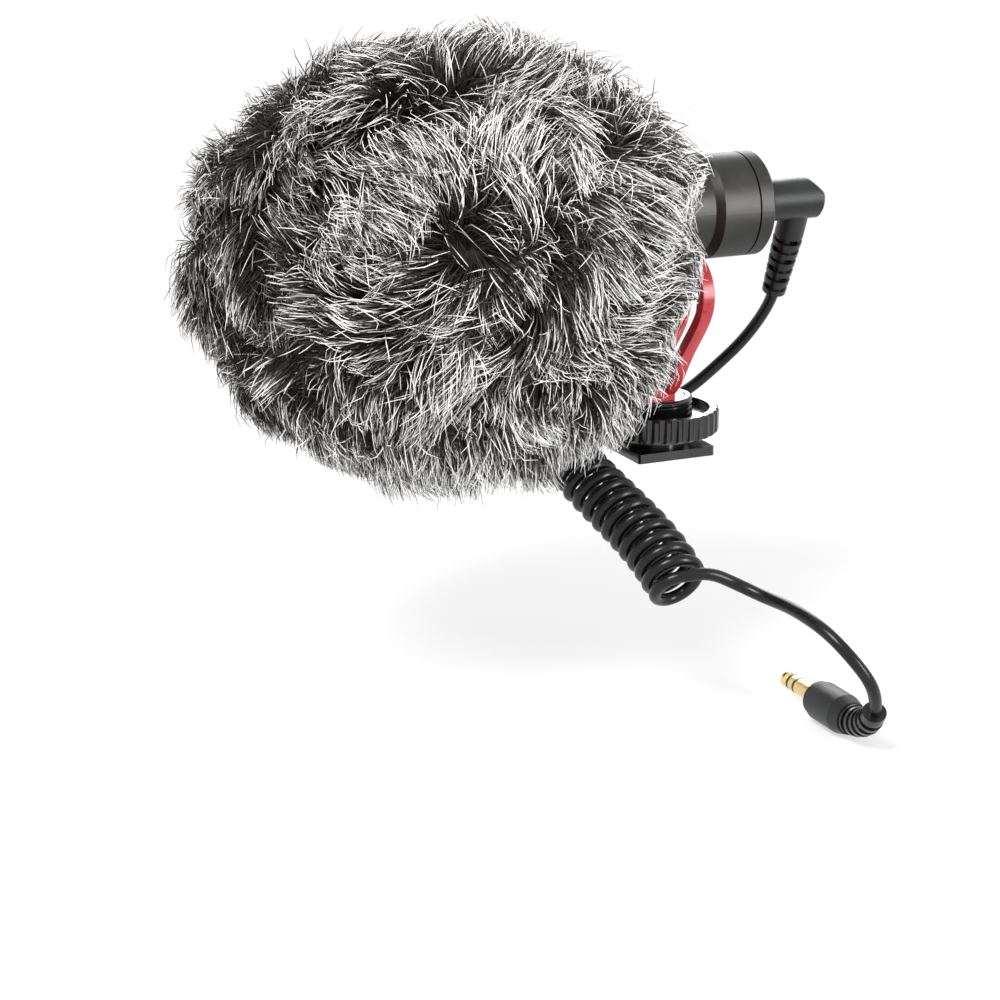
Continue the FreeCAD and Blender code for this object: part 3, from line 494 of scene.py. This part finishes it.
def coil_route():
    """Control points of the curly stretch; the radius makes up for what the spline cuts off."""
    count = math.ceil(coil_turns * coil_points_per_turn)
    share = np.linspace(0, 1, count + 1)[:, None]
    rest = 1 - share
    start, near, far, end = (np.array(p) for p in (coil_start, coil_near_bow, coil_far_bow, coil_end))
    middle = start * rest ** 3 + 3 * near * rest ** 2 * share + 3 * far * rest * share ** 2 + end * share ** 3
    along = unit((near - start) * rest ** 2 + 2 * (far - near) * rest * share + (end - far) * share ** 2)
    side = unit(np.cross((0, 0, 1), along))
    up = np.cross(along, side)
    turn = np.radians(coil_start_angle - 360 * coil_turns * share)
    last_turn = np.clip(share * coil_turns - coil_turns + 1, 0, None)
    radius = coil_start_radius * rest + coil_end_radius * share
    radius = radius * (1 - coil_last_shrink_share * last_turn ** 2)
    cut = 2 * math.pi / coil_points_per_turn
    radius = radius / (0.75 + 0.25 * math.cos(cut))
    return middle + side * radius * np.cos(turn) + up * radius * np.sin(turn)


def cord_route():
    """All the cord's control points, in metres, from the angled plug to the camera plug."""
    coil = coil_route()
    into = unit(coil[1] - coil[0])
    out = unit(coil[-1] - coil[-2])
    near_start = np.array(cord_near_start)
    near_leave = np.array(cord_near_leave)
    far_end = np.array(cord_far_end)
    far_leave = np.array(cord_far_leave)
    points = [near_start, near_start + near_leave * cord_near_plug_run]
    points += [np.array(p) for p in cord_near_route]
    points.append(coil[0] - into * (cord_near_coil_run + cord_diameter / mm))
    points += list(coil)
    points.append(coil[-1] + out * (cord_far_coil_run + cord_diameter / mm))
    points += [np.array(p) for p in cord_far_route]
    points += [far_end + far_leave * cord_far_plug_run, far_end]
    return np.array(points) * mm


def cord_curve(name, bevel):
    """The cord's spline, as a tube or, without a bevel, as a line."""
    curve = bpy.data.curves.new(name, "CURVE")
    curve.dimensions = "3D"
    curve.resolution_u = 6
    curve.bevel_depth = bevel
    curve.bevel_resolution = 4
    curve.use_fill_caps = True
    route = cord_route()
    spline = curve.splines.new("NURBS")
    spline.points.add(len(route) - 1)
    for point, place in zip(spline.points, route):
        point.co = opaque(place)
    spline.order_u = 3
    spline.use_endpoint_u = True
    return add_object(name, curve)


def make_cord():
    """The whole cord as one tube."""
    line = plain_mesh(cord_curve("cord_line", 0.0), "cord_line")
    cord = add_object("cord", plain_mesh(cord_curve("cord_tube", cord_diameter / 2), "cord"))
    cord.data.shade_smooth()
    cord.data.materials.clear()
    cord.data.materials.append(finishes["cord_rubber"])
    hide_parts("cord_near", "cord_coil", "cord_far")
    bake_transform(cord)
    return cord


def make_lyre():
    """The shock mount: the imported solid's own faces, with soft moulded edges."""
    mesh = frame["nodes"]["lyre"].data.copy()
    lyre = add_object("lyre_springs", mesh)
    shape = bmesh.new()
    shape.from_mesh(mesh)
    bmesh.ops.remove_doubles(shape, verts=shape.verts, dist=0.002 * mm)
    bmesh.ops.dissolve_limit(shape, angle_limit=math.radians(1), verts=shape.verts, edges=shape.edges)
    sharp = [e for e in shape.edges if len(e.link_faces) == 2 and e.calc_face_angle(0) > math.radians(35)]
    bmesh.ops.bevel(shape, geom=sharp, offset=lyre_edge * mm, segments=3, profile=0.5, affect="EDGES",
                    clamp_overlap=True)
    bmesh.ops.triangulate(shape, faces=[f for f in shape.faces if len(f.verts) > 4])
    shape.to_mesh(mesh)
    shape.free()
    mesh.shade_smooth()
    mesh.materials.clear()
    mesh.materials.append(finishes["red_plastic"])
    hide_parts("lyre")
    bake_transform(lyre)
    return lyre


def revolved(name, rings, segments, closed, wobble=None):
    """A surface turned about the Y axis from (y, radius, centre height) rings, in millimetres.
    wobble(place, angle) may move the points; the map holds metres along each direction."""
    rings = np.array(rings, float)
    angle = np.linspace(0, 2 * np.pi, segments, endpoint=False)
    y, radius, height = (rings[:, i:i + 1] for i in range(3))
    place = np.stack([radius * np.cos(angle), np.broadcast_to(y, (len(rings), segments)),
                      height + radius * np.sin(angle)], -1)
    if wobble is not None:
        place = wobble(place, np.broadcast_to(angle, place.shape[:2]))
    steps = len(rings) if closed else len(rings) - 1
    faces = []
    chart = []
    along = np.concatenate([[0], np.cumsum(np.linalg.norm(np.diff(rings[:, :2], axis=0), axis=1))])
    around = 2 * np.pi * rings[:, 1].max() / segments
    for i in range(steps):
        k = (i + 1) % len(rings)
        v0, v1 = along[i], along[i] + np.linalg.norm(rings[k, :2] - rings[i, :2])
        for j in range(segments):
            n = (j + 1) % segments
            faces.append((i * segments + j, k * segments + j, k * segments + n, i * segments + n))
            u0, u1 = j * around, (j + 1) * around
            chart += [(u0, v0), (u0, v1), (u1, v1), (u1, v0)]
    if not closed:
        for ring, flip in ((0, False), (len(rings) - 1, True)):
            cap = [ring * segments + j for j in range(segments)]
            faces.append(tuple(cap[::-1] if flip else cap))
            chart += [(0.0, 0.0)] * segments
    mesh = bpy.data.meshes.new(name)
    mesh.from_pydata((place.reshape(-1, 3) * mm).tolist(), [], faces)
    chart_layer = mesh.uv_layers.new(name="chart")
    chart_layer.uv.foreach_set("vector", (np.array(chart, np.float32) * mm).ravel())
    shape = bmesh.new()
    shape.from_mesh(mesh)
    bmesh.ops.recalc_face_normals(shape, faces=shape.faces)
    shape.to_mesh(mesh)
    shape.free()
    mesh.shade_smooth()
    return add_object(name, mesh)


def dome_rings(tip, base, radius, height, steps, tiny=0.4):
    """Rings of a quarter ellipse, from a small ring at the tip out to its base."""
    rings = []
    for i in range(steps + 1):
        turn = math.asin(tiny / radius) + (math.pi / 2 - math.asin(tiny / radius)) * i / steps
        rings.append((base - (base - tip) * math.cos(turn), radius * math.sin(turn), height))
    return rings


def ripple_field(seed, waves, shortest, longest):
    """A smooth random vector field: sine waves whose lengths lie between two limits, in millimetres."""
    chance = np.random.default_rng(seed)
    direction = unit(chance.normal(size=(waves, 3)))
    length = chance.uniform(shortest, longest, waves)
    phase = chance.uniform(0, 2 * np.pi, (waves, 3))
    push = chance.normal(size=(waves, 3))

    def field(place):
        turn = place @ (direction * (2 * np.pi / length[:, None])).T
        total = np.zeros(place.shape)
        for w in range(waves):
            total += np.sin(turn[..., w, None] + phase[w]) * push[w]
        return total / math.sqrt(waves)

    return field


def wear(piece, material, node):
    """Gives a layer of the windshield its material, and lets it stand for its node."""
    piece.data.materials.clear()
    piece.data.materials.append(material)
    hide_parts(node)
    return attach(piece, "windshield")


def box_mm(node):
    """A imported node's box in millimetres, as its low and its high corner."""
    low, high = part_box(node)
    return np.array(low) / mm, np.array(high) / mm


def make_foam():
    """The foam sleeve: domed in front, bored for the tube and slightly grainy."""
    low, high = box_mm("foam_core")
    tip, rear = low[1], high[1]
    radius = (high[0] - low[0]) / 2
    bore = barrel_radius + fit_gap
    floor = box_mm("front_tube")[0][1] - fit_gap
    edge = foam_edge
    rings = dome_rings(tip, tip + foam_dome, radius, mic_height, 24)
    rings += [(y, radius, mic_height) for y in np.linspace(tip + foam_dome + 1, rear - edge, 40)]
    rings += [(rear - 0.3 * edge, radius - 0.3 * edge, mic_height), (rear, radius - edge, mic_height),
              (rear, bore + edge, mic_height), (rear - 0.3 * edge, bore + 0.3 * edge, mic_height)]
    rings += [(y, bore, mic_height) for y in np.linspace(rear - edge, floor + 0.5, 40)]
    rings += [(floor, bore - 0.5, mic_height), (floor, 0.4, mic_height)]
    lumps = ripple_field(3, 24, 1.6, 7.0)

    def wobble(place, angle):
        moved = place.copy()
        moved[:-2] += lumps(place[:-2]) * foam_grain
        return moved

    foam = revolved("foam_sleeve", rings, 120, False, wobble)
    wear(foam, finishes["foam"], "foam_core")
    return foam


def make_lining():
    """The knitted bag between foam and fur, rounded over at its mouth."""
    low, high = box_mm("cover_lining")
    tip, rear = low[1], high[1]
    outer = (high[0] - low[0]) / 2 - lining_inset
    inner = (high[0] - low[0]) / 2 - lining_wall + 0.1
    dome_base, straight, lip = tip + lining_dome, tip + lining_dome + 1.5, rear - 0.4
    outer_rings = dome_rings(tip, dome_base, outer, mic_height, 20)
    outer_rings += [(y, outer, mic_height) for y in np.linspace(straight, lip, 34)]
    mouth = [(rear, outer - 0.35, mic_height), (rear, inner + 0.25, mic_height)]
    inner_rings = [(y, inner, mic_height) for y in np.linspace(lip, straight, 34)]
    inner_rings += dome_rings(tip + lining_wall, dome_base, inner, mic_height, 20)[::-1]
    folds = ripple_field(8, 16, 5.0, 16.0)

    def wobble(place, angle):
        return place + folds(place) * lining_ripple

    lining = revolved("fur_lining", outer_rings + mouth + inner_rings, 120, False, wobble)
    return wear(lining, finishes["lining"], "cover_lining")


def make_cuff():
    """Gathered elastic: pleats all round, deepest at the free edge."""
    low, high = box_mm("elastic_cuff")
    outer = (high[0] - low[0]) / 2
    inner = barrel_radius + cuff_gap
    front, rear = low[1], high[1]
    lip = inner + cuff_wall
    section = [(front, inner), (front, outer - 0.4), (front + 0.5, outer), (front + 1.0, outer - 0.3),
               (front + 1.5, lip + 0.5), (front + 2.0, lip), (rear - 0.35, lip - 0.1), (rear, lip - 0.6),
               (rear, inner + 0.7), (rear - 0.35, inner + 0.1), (front + 1.2, inner)]
    rings = [(y, radius, mic_height) for y, radius in section]

    def wobble(place, angle):
        moved = place.copy()
        spread = np.linalg.norm(place[..., [0, 2]] - np.array([0, mic_height]), axis=-1)
        push = cuff_pleat_depth * np.clip((spread - inner) / 2.0, 0, 1) * np.cos(cuff_pleats * angle)
        moved[..., 0] += push * np.cos(angle)
        moved[..., 2] += push * np.sin(angle)
        moved[..., 1] += push * 0.1
        return moved

    cuff = revolved("gathered_cuff", rings, 8 * cuff_pleats, True, wobble)
    return wear(cuff, finishes["cuff"], "elastic_cuff")


def skin_radius_at(y):
    """The underfur's radius at a place along the fur's own axis."""
    share = np.clip((y - fur_centre[1]) / skin_half_length, -1, 1)
    return skin_radius * np.sqrt(1 - share ** 2)


def make_underfur():
    """The dark pile under the hair: a lumpy closed bag round the lining, with a hole for the tube behind."""
    middle, height = fur_centre[1:]
    nose = box_mm("cover_lining")[0][1] - 0.5
    edge = float(skin_radius_at(skin_back - 2))
    outer = dome_rings(middle - skin_half_length, middle, skin_radius, height, 60)
    outer += [(y, float(skin_radius_at(y)), height) for y in np.linspace(middle + 1, skin_back - 2, 40)]
    outer += [(skin_back - 0.6, edge - 1.4, height), (skin_back, edge - 3.0, height + 0.6)]
    inner = [(skin_back, skin_hole + 0.6, mic_height), (skin_back - 0.6, skin_hole, mic_height)]
    inner += [(y, skin_hole, mic_height) for y in np.linspace(skin_back - 2, nose + lining_dome, 30)]
    inner += dome_rings(nose, nose + lining_dome, skin_hole, mic_height, 16)[::-1]
    tufts = ripple_field(5, 40, 2.5, 9.0)
    count = len(outer)

    def wobble(place, angle):
        moved = place.copy()
        moved[:count] += tufts(place[:count]) * skin_lumps
        above = np.clip(moved[:count, :, 2] - height, 0, None)
        moved[:count, :, 2] -= above * (1 - skin_top_share)
        return moved

    bag = revolved("underfur", outer + inner, 180, False, wobble)
    return wear(bag, underfur_material, "fur_cover")


def strand_tree():
    """Turns drawn lines into closed, tapering strands."""
    group = bpy.data.node_groups.new("strand_sweep", "GeometryNodeTree")
    group.interface.new_socket("Geometry", in_out="INPUT", socket_type="NodeSocketGeometry")
    group.interface.new_socket("Strand Sides", in_out="INPUT", socket_type="NodeSocketInt")
    group.interface.new_socket("Strand Finish", in_out="INPUT", socket_type="NodeSocketMaterial")
    group.interface.new_socket("Geometry", in_out="OUTPUT", socket_type="NodeSocketGeometry")
    t = Tree(group)
    lines = group.nodes.new("NodeGroupInput").outputs
    result = group.nodes.new("NodeGroupOutput")
    thick = t.node("GeometryNodeInputNamedAttribute", {"data_type": "FLOAT"}, {"Name": "thickness"})
    curves = t.node("GeometryNodeMeshToCurve", inputs={"Mesh": Wire(t, lines["Geometry"])})
    section = t.node("GeometryNodeCurvePrimitiveCircle",
                     inputs={"Resolution": Wire(t, lines["Strand Sides"]), "Radius": 1.0})
    swept = t.node("GeometryNodeCurveToMesh",
                   inputs={"Curve": curves, "Profile Curve": section, "Scale": thick, "Fill Caps": True})
    plain = t.node("GeometryNodeRealizeInstances", inputs={"Geometry": swept})
    worn = t.node("GeometryNodeSetMaterial",
                  inputs={"Geometry": plain, "Material": Wire(t, lines["Strand Finish"])})
    t.feed(result, {"Geometry": worn})
    return group


def sweep_strands(name, paths, thickness, tone, tint, group):
    """One piece of fur from strand paths (strands, points, 3) with a thickness and tone at each point."""
    strands, points = paths.shape[:2]
    mesh = bpy.data.meshes.new(name + "_lines")
    mesh.vertices.add(strands * points)
    mesh.vertices.foreach_set("co", (paths * mm).astype(np.float32).ravel())
    start = (np.arange(strands)[:, None] * points + np.arange(points - 1)).ravel()
    mesh.edges.add(len(start))
    mesh.edges.foreach_set("vertices", np.stack([start, start + 1], -1).astype(np.int32).ravel())
    for label, values in (("thickness", thickness * mm), ("tone", tone), ("tint", tint)):
        layer = mesh.attributes.new(label, "FLOAT", "POINT")
        layer.data.foreach_set("value", values.astype(np.float32).ravel())
    drawn = add_object(name + "_lines", mesh)
    sweep = drawn.modifiers.new("sweep", "NODES")
    sweep.node_group = group
    for item in group.interface.items_tree:
        if item.in_out == "INPUT" and item.name == "Strand Sides":
            sweep[item.identifier] = strand_sides
        if item.in_out == "INPUT" and item.name == "Strand Finish":
            sweep[item.identifier] = hair_material
    piece = add_object(name, plain_mesh(drawn, name))
    piece.data.shade_smooth()
    return piece


# How the hair grows, in millimetres

comb_large = ripple_field(11, 14, 34.0, 70.0)
comb_small = ripple_field(12, 20, 10.0, 24.0)
skin_size = np.array([skin_radius, skin_half_length, skin_radius])


def outward_at(place):
    """The skin's outward direction near a place; behind the skin's flat back it turns to +Y."""
    way = unit((place - np.array(fur_centre)) / skin_size ** 2)
    behind = np.clip((place[..., 1:2] - skin_back + 2.5) / 3.0, 0, 1)
    return unit(way * (1 - 0.6 * behind) + np.array([0, 1.0, 0]) * behind)


def scattered_roots(count, seed):
    """Roots spread over the skin and over its flat back."""
    chance = np.random.default_rng(seed)
    k = np.arange(count) + 0.5
    level = 1 - 2 * k / count
    turn = k * math.pi * (1 + math.sqrt(5))
    ring = np.sqrt(1 - level ** 2)
    ball = np.stack([ring * np.cos(turn), level, ring * np.sin(turn)], -1)
    ball = unit(ball + chance.normal(0, 1.2 / math.sqrt(count), (count, 3)))
    root = ball * skin_size * np.where(ball[:, 2:] > 0, (1, 1, skin_top_share), 1.0) + np.array(fur_centre)
    behind = root[:, 1] > skin_back
    root[behind, 1] = skin_back
    from_axis = np.hypot(root[:, 0], root[:, 2] - mic_height)
    return root[~(behind & (from_axis < tube_clear_radii[0]))]


def comb(place, outward):
    """Which way the hair lies: away from the middle of each side and down, in swirls."""
    rel = (place - np.array(fur_centre)) / skin_size
    low = np.clip(0.1 - 1.4 * rel[:, 2], 0, 1)
    flow = np.zeros_like(place)
    flow[:, 1] = (0.95 * rel[:, 1] + 0.2 + 0.5 * np.clip(rel[:, 1] - 0.3, 0, 1)) * (1 - 0.6 * low)
    flow[:, 2] = 0.7 * rel[:, 2] - 0.4 - 0.3 * low
    flow += comb_large(place) * 0.42 + comb_small(place) * 0.45
    along = (flow * outward).sum(-1, keepdims=True)
    flat = 0.8 - 0.45 * np.clip(-1.6 * rel[:, 2:] - 0.6, 0, 1) - 0.4 * np.clip(-3 * rel[:, 1:2] - 2, 0, 1)
    return unit(flow - outward * along * flat)


def grow(root, stray, bend, length, rise, points):
    """Strand paths that lie the way their root is combed: up from the root, then over the skin."""
    place = root.copy()
    path = [place]
    step = (length / (points - 1))[:, None]
    high = np.clip((root[:, 2:] - fur_centre[2]) / skin_radius, 0, 1)
    lay = comb(root, outward_at(root)) + stray
    for k in range(points - 1):
        t = k / (points - 1)
        outward = outward_at(place)
        sunk = (lay * outward).sum(-1, keepdims=True)
        way = lay - outward * np.minimum(sunk, 0) + bend * t
        way += outward * (rise[:, None] * (1 - t) ** 1.5 + 0.14 * high)
        way[:, 2] -= 0.25 * t
        place = place + unit(way) * step
        path.append(place)
    return np.stack(path, 1)


def clumped(path, leader, pull):
    """Draws each strand towards its clump's leader, more towards the tip."""
    t = np.linspace(0, 1, path.shape[1])[None, :, None]
    return path + (leader - path) * pull[:, None, None] * t ** 1.2


def nearest(root, centres):
    """Index of the centre that is nearest each root."""
    found = np.empty(len(root), int)
    for i in range(0, len(root), 2000):
        gap = ((root[i:i + 2000, None, :] - centres[None]) ** 2).sum(-1)
        found[i:i + 2000] = gap.argmin(1)
    return found


def drawn_back(reach):
    """The share of a strand's reach that is taken back where it stands out of the pile."""
    return pile_firm_share * np.clip(reach - 1, 0, None) / np.maximum(reach, 1)


def hold_front(path, fullness, front):
    """Draws the front of the pile back into its ellipsoid."""
    rel = path - np.array(pile_centre)
    reach = np.linalg.norm(rel / (np.array(pile_size) * fullness[..., None]), axis=-1)
    return path - rel * (front * drawn_back(reach))[..., None]


def hold_sections(path, fullness, behind):
    """Draws the rest of the pile in towards its axis, section by section along Y."""
    along = path[..., 1]
    height = path[..., 2] - pile_centre[2]
    limit = np.where(height > 0, np.interp(along, pile_y, pile_tops) - pile_centre[2],
                     pile_centre[2] - np.interp(along, pile_y, pile_lows))
    reach = np.hypot(path[..., 0] / np.interp(along, pile_y, pile_widths), height / limit) / fullness
    kept = 1 - behind * drawn_back(reach)
    path[..., 0] *= kept
    path[..., 2] = pile_centre[2] + height * kept


def hold_rear(path, chance):
    """Ends the pile in front of the mount, further forward at its sides, and lets it flare over the tube."""
    side, height = np.abs(path[..., 0]), path[..., 2]
    from_tube = np.hypot(side, height - mic_height)
    rear = np.interp(height, pile_rear_heights, pile_rear_y)
    rear = rear + chance.normal(0, pile_rear_scatter, (len(path), 1))
    rear -= pile_rear_slope * np.clip(side - 13, 0, None) * np.clip((height - 26) / 6, 0, 1)
    rear += pile_rear_flare * np.clip((19 - from_tube) / 5, 0, 1) * np.clip((height - 56) / 5, 0, 1)
    path[..., 1] -= pile_firm_share * np.clip(path[..., 1] - rear, 0, None)


def clear_tube(path):
    """Pushes strands out of the tube, and out of the lining's mouth in front of it."""
    across = path[..., [0, 2]] - np.array([0.0, mic_height])
    spread = np.maximum(np.linalg.norm(across, axis=-1), 0.001)
    tube = np.interp(path[..., 1], tube_clear_y, tube_clear_radii)
    push = np.where((path[..., 1] > tube_clear_y[0] + 0.5) & (spread < tube), tube / spread, 1.0)
    path[..., 0] = across[..., 0] * push
    path[..., 2] = across[..., 1] * push + mic_height


def held_in(path, fullness, chance):
    """Keeps strands inside the pile's reach; fullness is how far each one's tuft may stand out of it."""
    fullness = (fullness + chance.normal(0, strand_scatter_share, len(path)))[:, None]
    front = np.clip((pile_front_y - path[..., 1]) / pile_front_blend, 0, 1)
    path = hold_front(path, fullness, front)
    hold_sections(path, fullness, 1 - front)
    hold_rear(path, chance)
    clear_tube(path)
    return path


def make_leaders(points):
    """Clump leaders of two sizes: broad tufts, and the small clumps that they gather."""
    chance = np.random.default_rng(21)
    tuft_root = scattered_roots(tuft_count, 22)
    tuft = grow(tuft_root, chance.normal(0, 0.3, tuft_root.shape), chance.normal(0, 0.2, tuft_root.shape),
                chance.uniform(15, 20, len(tuft_root)), chance.uniform(0.3, 1.4, len(tuft_root)), points)
    root = scattered_roots(clump_count, 23)
    home = nearest(root, tuft_root)
    path = grow(root, chance.normal(0, 0.22, root.shape), chance.normal(0, 0.2, root.shape),
                chance.uniform(13, 18, len(root)), chance.uniform(0.3, 1.3, len(root)), points)
    return root, clumped(path, tuft[home], chance.uniform(0.25, 0.75, len(root))), home


def fur_layer(layer, tone_law, kept_share):
    """One layer of strands: their paths, thickness, tones and roots."""
    seed, points = layer["seed"], layer["points"]
    chance = np.random.default_rng(seed)
    clump_root, leader, tuft_home = make_leaders(points)
    tuft_chance = np.random.default_rng(24)
    tuft_tone = tuft_chance.uniform(*tuft_tone_range, tuft_home.max() + 1)[tuft_home]
    tuft_fullness = tuft_chance.uniform(*tuft_fullness_range, tuft_home.max() + 1)[tuft_home]
    root = scattered_roots(int(layer["count"] * kept_share), seed)
    count = len(root)
    home = nearest(root, clump_root)
    loose = chance.uniform(0, 1, count) < loose_share
    scatter = np.where(loose, loose_stray, 1.0)[:, None]
    rear = np.clip((root[:, 1] + 34) / 20, 0, 1)
    length = chance.uniform(*layer["length"], count) * (1 + rear_growth_share * rear)
    stray = chance.normal(0, layer["stray"], root.shape) * scatter
    bend = chance.normal(0, 0.22, root.shape) * scatter
    path = grow(root, stray, bend, length, chance.uniform(*layer["rise"], count), points)
    pull = chance.uniform(*layer["pull"], count) * np.where(loose, 0.25, 1.0)
    path = held_in(clumped(path, leader[home], pull), tuft_fullness[home], chance)
    t = np.linspace(0, 1, points)[None]
    taper = np.interp(t, [0, 0.5, 0.85, 1], [1, 1, 0.8, 0.35])
    width = layer["radius"] * chance.uniform(0.7, 1.35, count)[:, None] * taper
    bright = tuft_tone[home] * np.interp(root[:, 1], bright_y, bright_y_share)
    bright *= np.interp(root[:, 2], bright_z, bright_z_share)
    tone = tone_law(chance, bright, t)
    tint = np.broadcast_to(chance.uniform(0, 1, count)[:, None], tone.shape)
    return path, width, tone, tint, root


def guard_tone(chance, bright, t):
    """Guard hair: dark at the root, and light to white over its outer half."""
    count = len(bright)
    plain = chance.uniform(0, 1.25, count) > bright
    tip = np.clip(chance.normal(1.1, 0.14, count) * np.where(plain, 0.42, 1.0), 0.2, 1.0)[:, None]
    start = (chance.uniform(0.26, 0.58, count) + 0.25 * np.clip(1 - bright, 0, 1))[:, None]
    return 0.08 + (tip - 0.08) * np.clip((t - start) / 0.2, 0, 1)


def ground_tone(chance, bright, t):
    """Ground hair: dark, with some greyer tips."""
    tip = np.clip(chance.normal(0.14, 0.12, len(bright)) * bright, 0.02, 0.5)[:, None]
    return 0.02 + (tip - 0.02) * t ** 1.3


def make_fur():
    """The hair, in layers that are each cut into wedges round the fur's axis."""
    group = strand_tree()
    kept_share = 1.0
    tone_laws = {"ground": ground_tone, "guard": guard_tone}
    for layer in hair_layers:
        path, width, tone, tint, root = fur_layer(layer, tone_laws[layer["name"]], kept_share)
        around = np.arctan2(root[:, 2] - fur_centre[2], root[:, 0])
        order = np.argsort(around, kind="stable")
        for i, part in enumerate(np.array_split(order, layer["pieces"])):
            name = f"{layer['name']}_hair_{i + 1}"
            piece = sweep_strands(name, path[part], width[part], tone[part], tint[part], group)
            wear(piece, hair_material, "fur_cover")


make_cord()
make_lyre()
make_foam()
make_lining()
make_cuff()
make_underfur()
make_fur()


# Floor, light and camera

def seen_directly(tree):
    """1 where a ray comes from the camera, off a glossy surface or through a clear one, and 0 for light."""
    ray, glossy, through = (tree.node("ShaderNodeLightPath", output=label) for label in
                            ("Is Camera Ray", "Is Glossy Ray", "Is Transmission Ray"))
    return ray.maths("MAXIMUM", ray, glossy.maths("MAXIMUM", glossy, through))


def stage_finish():
    """White paper: seen as plain white far from the part, with the part's soft shadow near it."""
    f = Finish("paper_white", roughness=0.9)
    distance = f.node("ShaderNodeVectorMath", {"operation": "LENGTH"}, {0: f.place}, "Value")
    fade = f.remap(distance, 0.09, 0.3)
    grain = f.noise(0.5 * mm, 2.0)
    f.set(base_color=f.mix(grain, grey(0.86), grey(0.9)))
    glow = f.node("ShaderNodeEmission", inputs={"Color": opaque(grey(1.0)), "Strength": 1.0})
    share = seen_directly(f) * f.remap(fade, 0.0, 1.0, 0.55, 1.0)
    mixed = f.node("ShaderNodeMixShader", inputs={0: share, 1: Wire(f, f.surface.outputs[0]), 2: glow})
    f.tree.links.new(mixed.socket, f.tree.nodes["Material Output"].inputs["Surface"])
    return f.material


def make_stage():
    """A wide floor just below the lowest point."""
    low = cad_box[0][2] - floor_drop
    side = floor_half_side
    mesh = bpy.data.meshes.new("floor")
    mesh.from_pydata([(-side, -side, low), (side, -side, low), (side, side, low), (-side, side, low)], [],
                     [(0, 1, 2, 3)])
    mesh.materials.append(stage_finish())
    add_object("floor", mesh)


def make_world():
    """White surroundings that light the part softly."""
    world = bpy.data.worlds.new("studio")
    bpy.context.scene.world = world
    world.use_nodes = True
    t = Tree(world.node_tree)
    shade = world.node_tree.nodes["Background"]
    strength = world_fill + seen_directly(t) * (1 - world_fill)
    t.feed(shade, {"Color": opaque(grey(1.0)), "Strength": strength})


def direction_turn(way):
    """Turn that points a lamp's -Z along a direction."""
    flat = math.hypot(way[0], way[1])
    return (math.atan2(flat, -way[2]), 0.0, math.atan2(-way[0], way[1]))


def make_lights():
    """Softboxes that the camera doesn't see."""
    for name, (place, width, height, power) in softboxes.items():
        light = bpy.data.lights.new(name, "AREA")
        light.shape = "RECTANGLE"
        light.size = width
        light.size_y = height
        light.energy = power
        lamp = add_object(name, light)
        lamp.location = place
        lamp.rotation_euler = direction_turn(np.array(light_target) - np.array(place))
        lamp.visible_camera = False


def make_camera():
    """The camera that looks at the part as the photograph does."""
    data = bpy.data.cameras.new("camera")
    data.lens = camera_lens
    data.sensor_width = camera_sensor
    data.clip_start = 0.01
    made = add_object("camera", data)
    made.location = camera_place
    made.rotation_euler = [math.radians(a) for a in camera_tilt]
    bpy.context.scene.camera = made


make_stage()
make_world()
make_lights()
make_camera()
bpy.context.scene.view_settings.view_transform = "Standard"
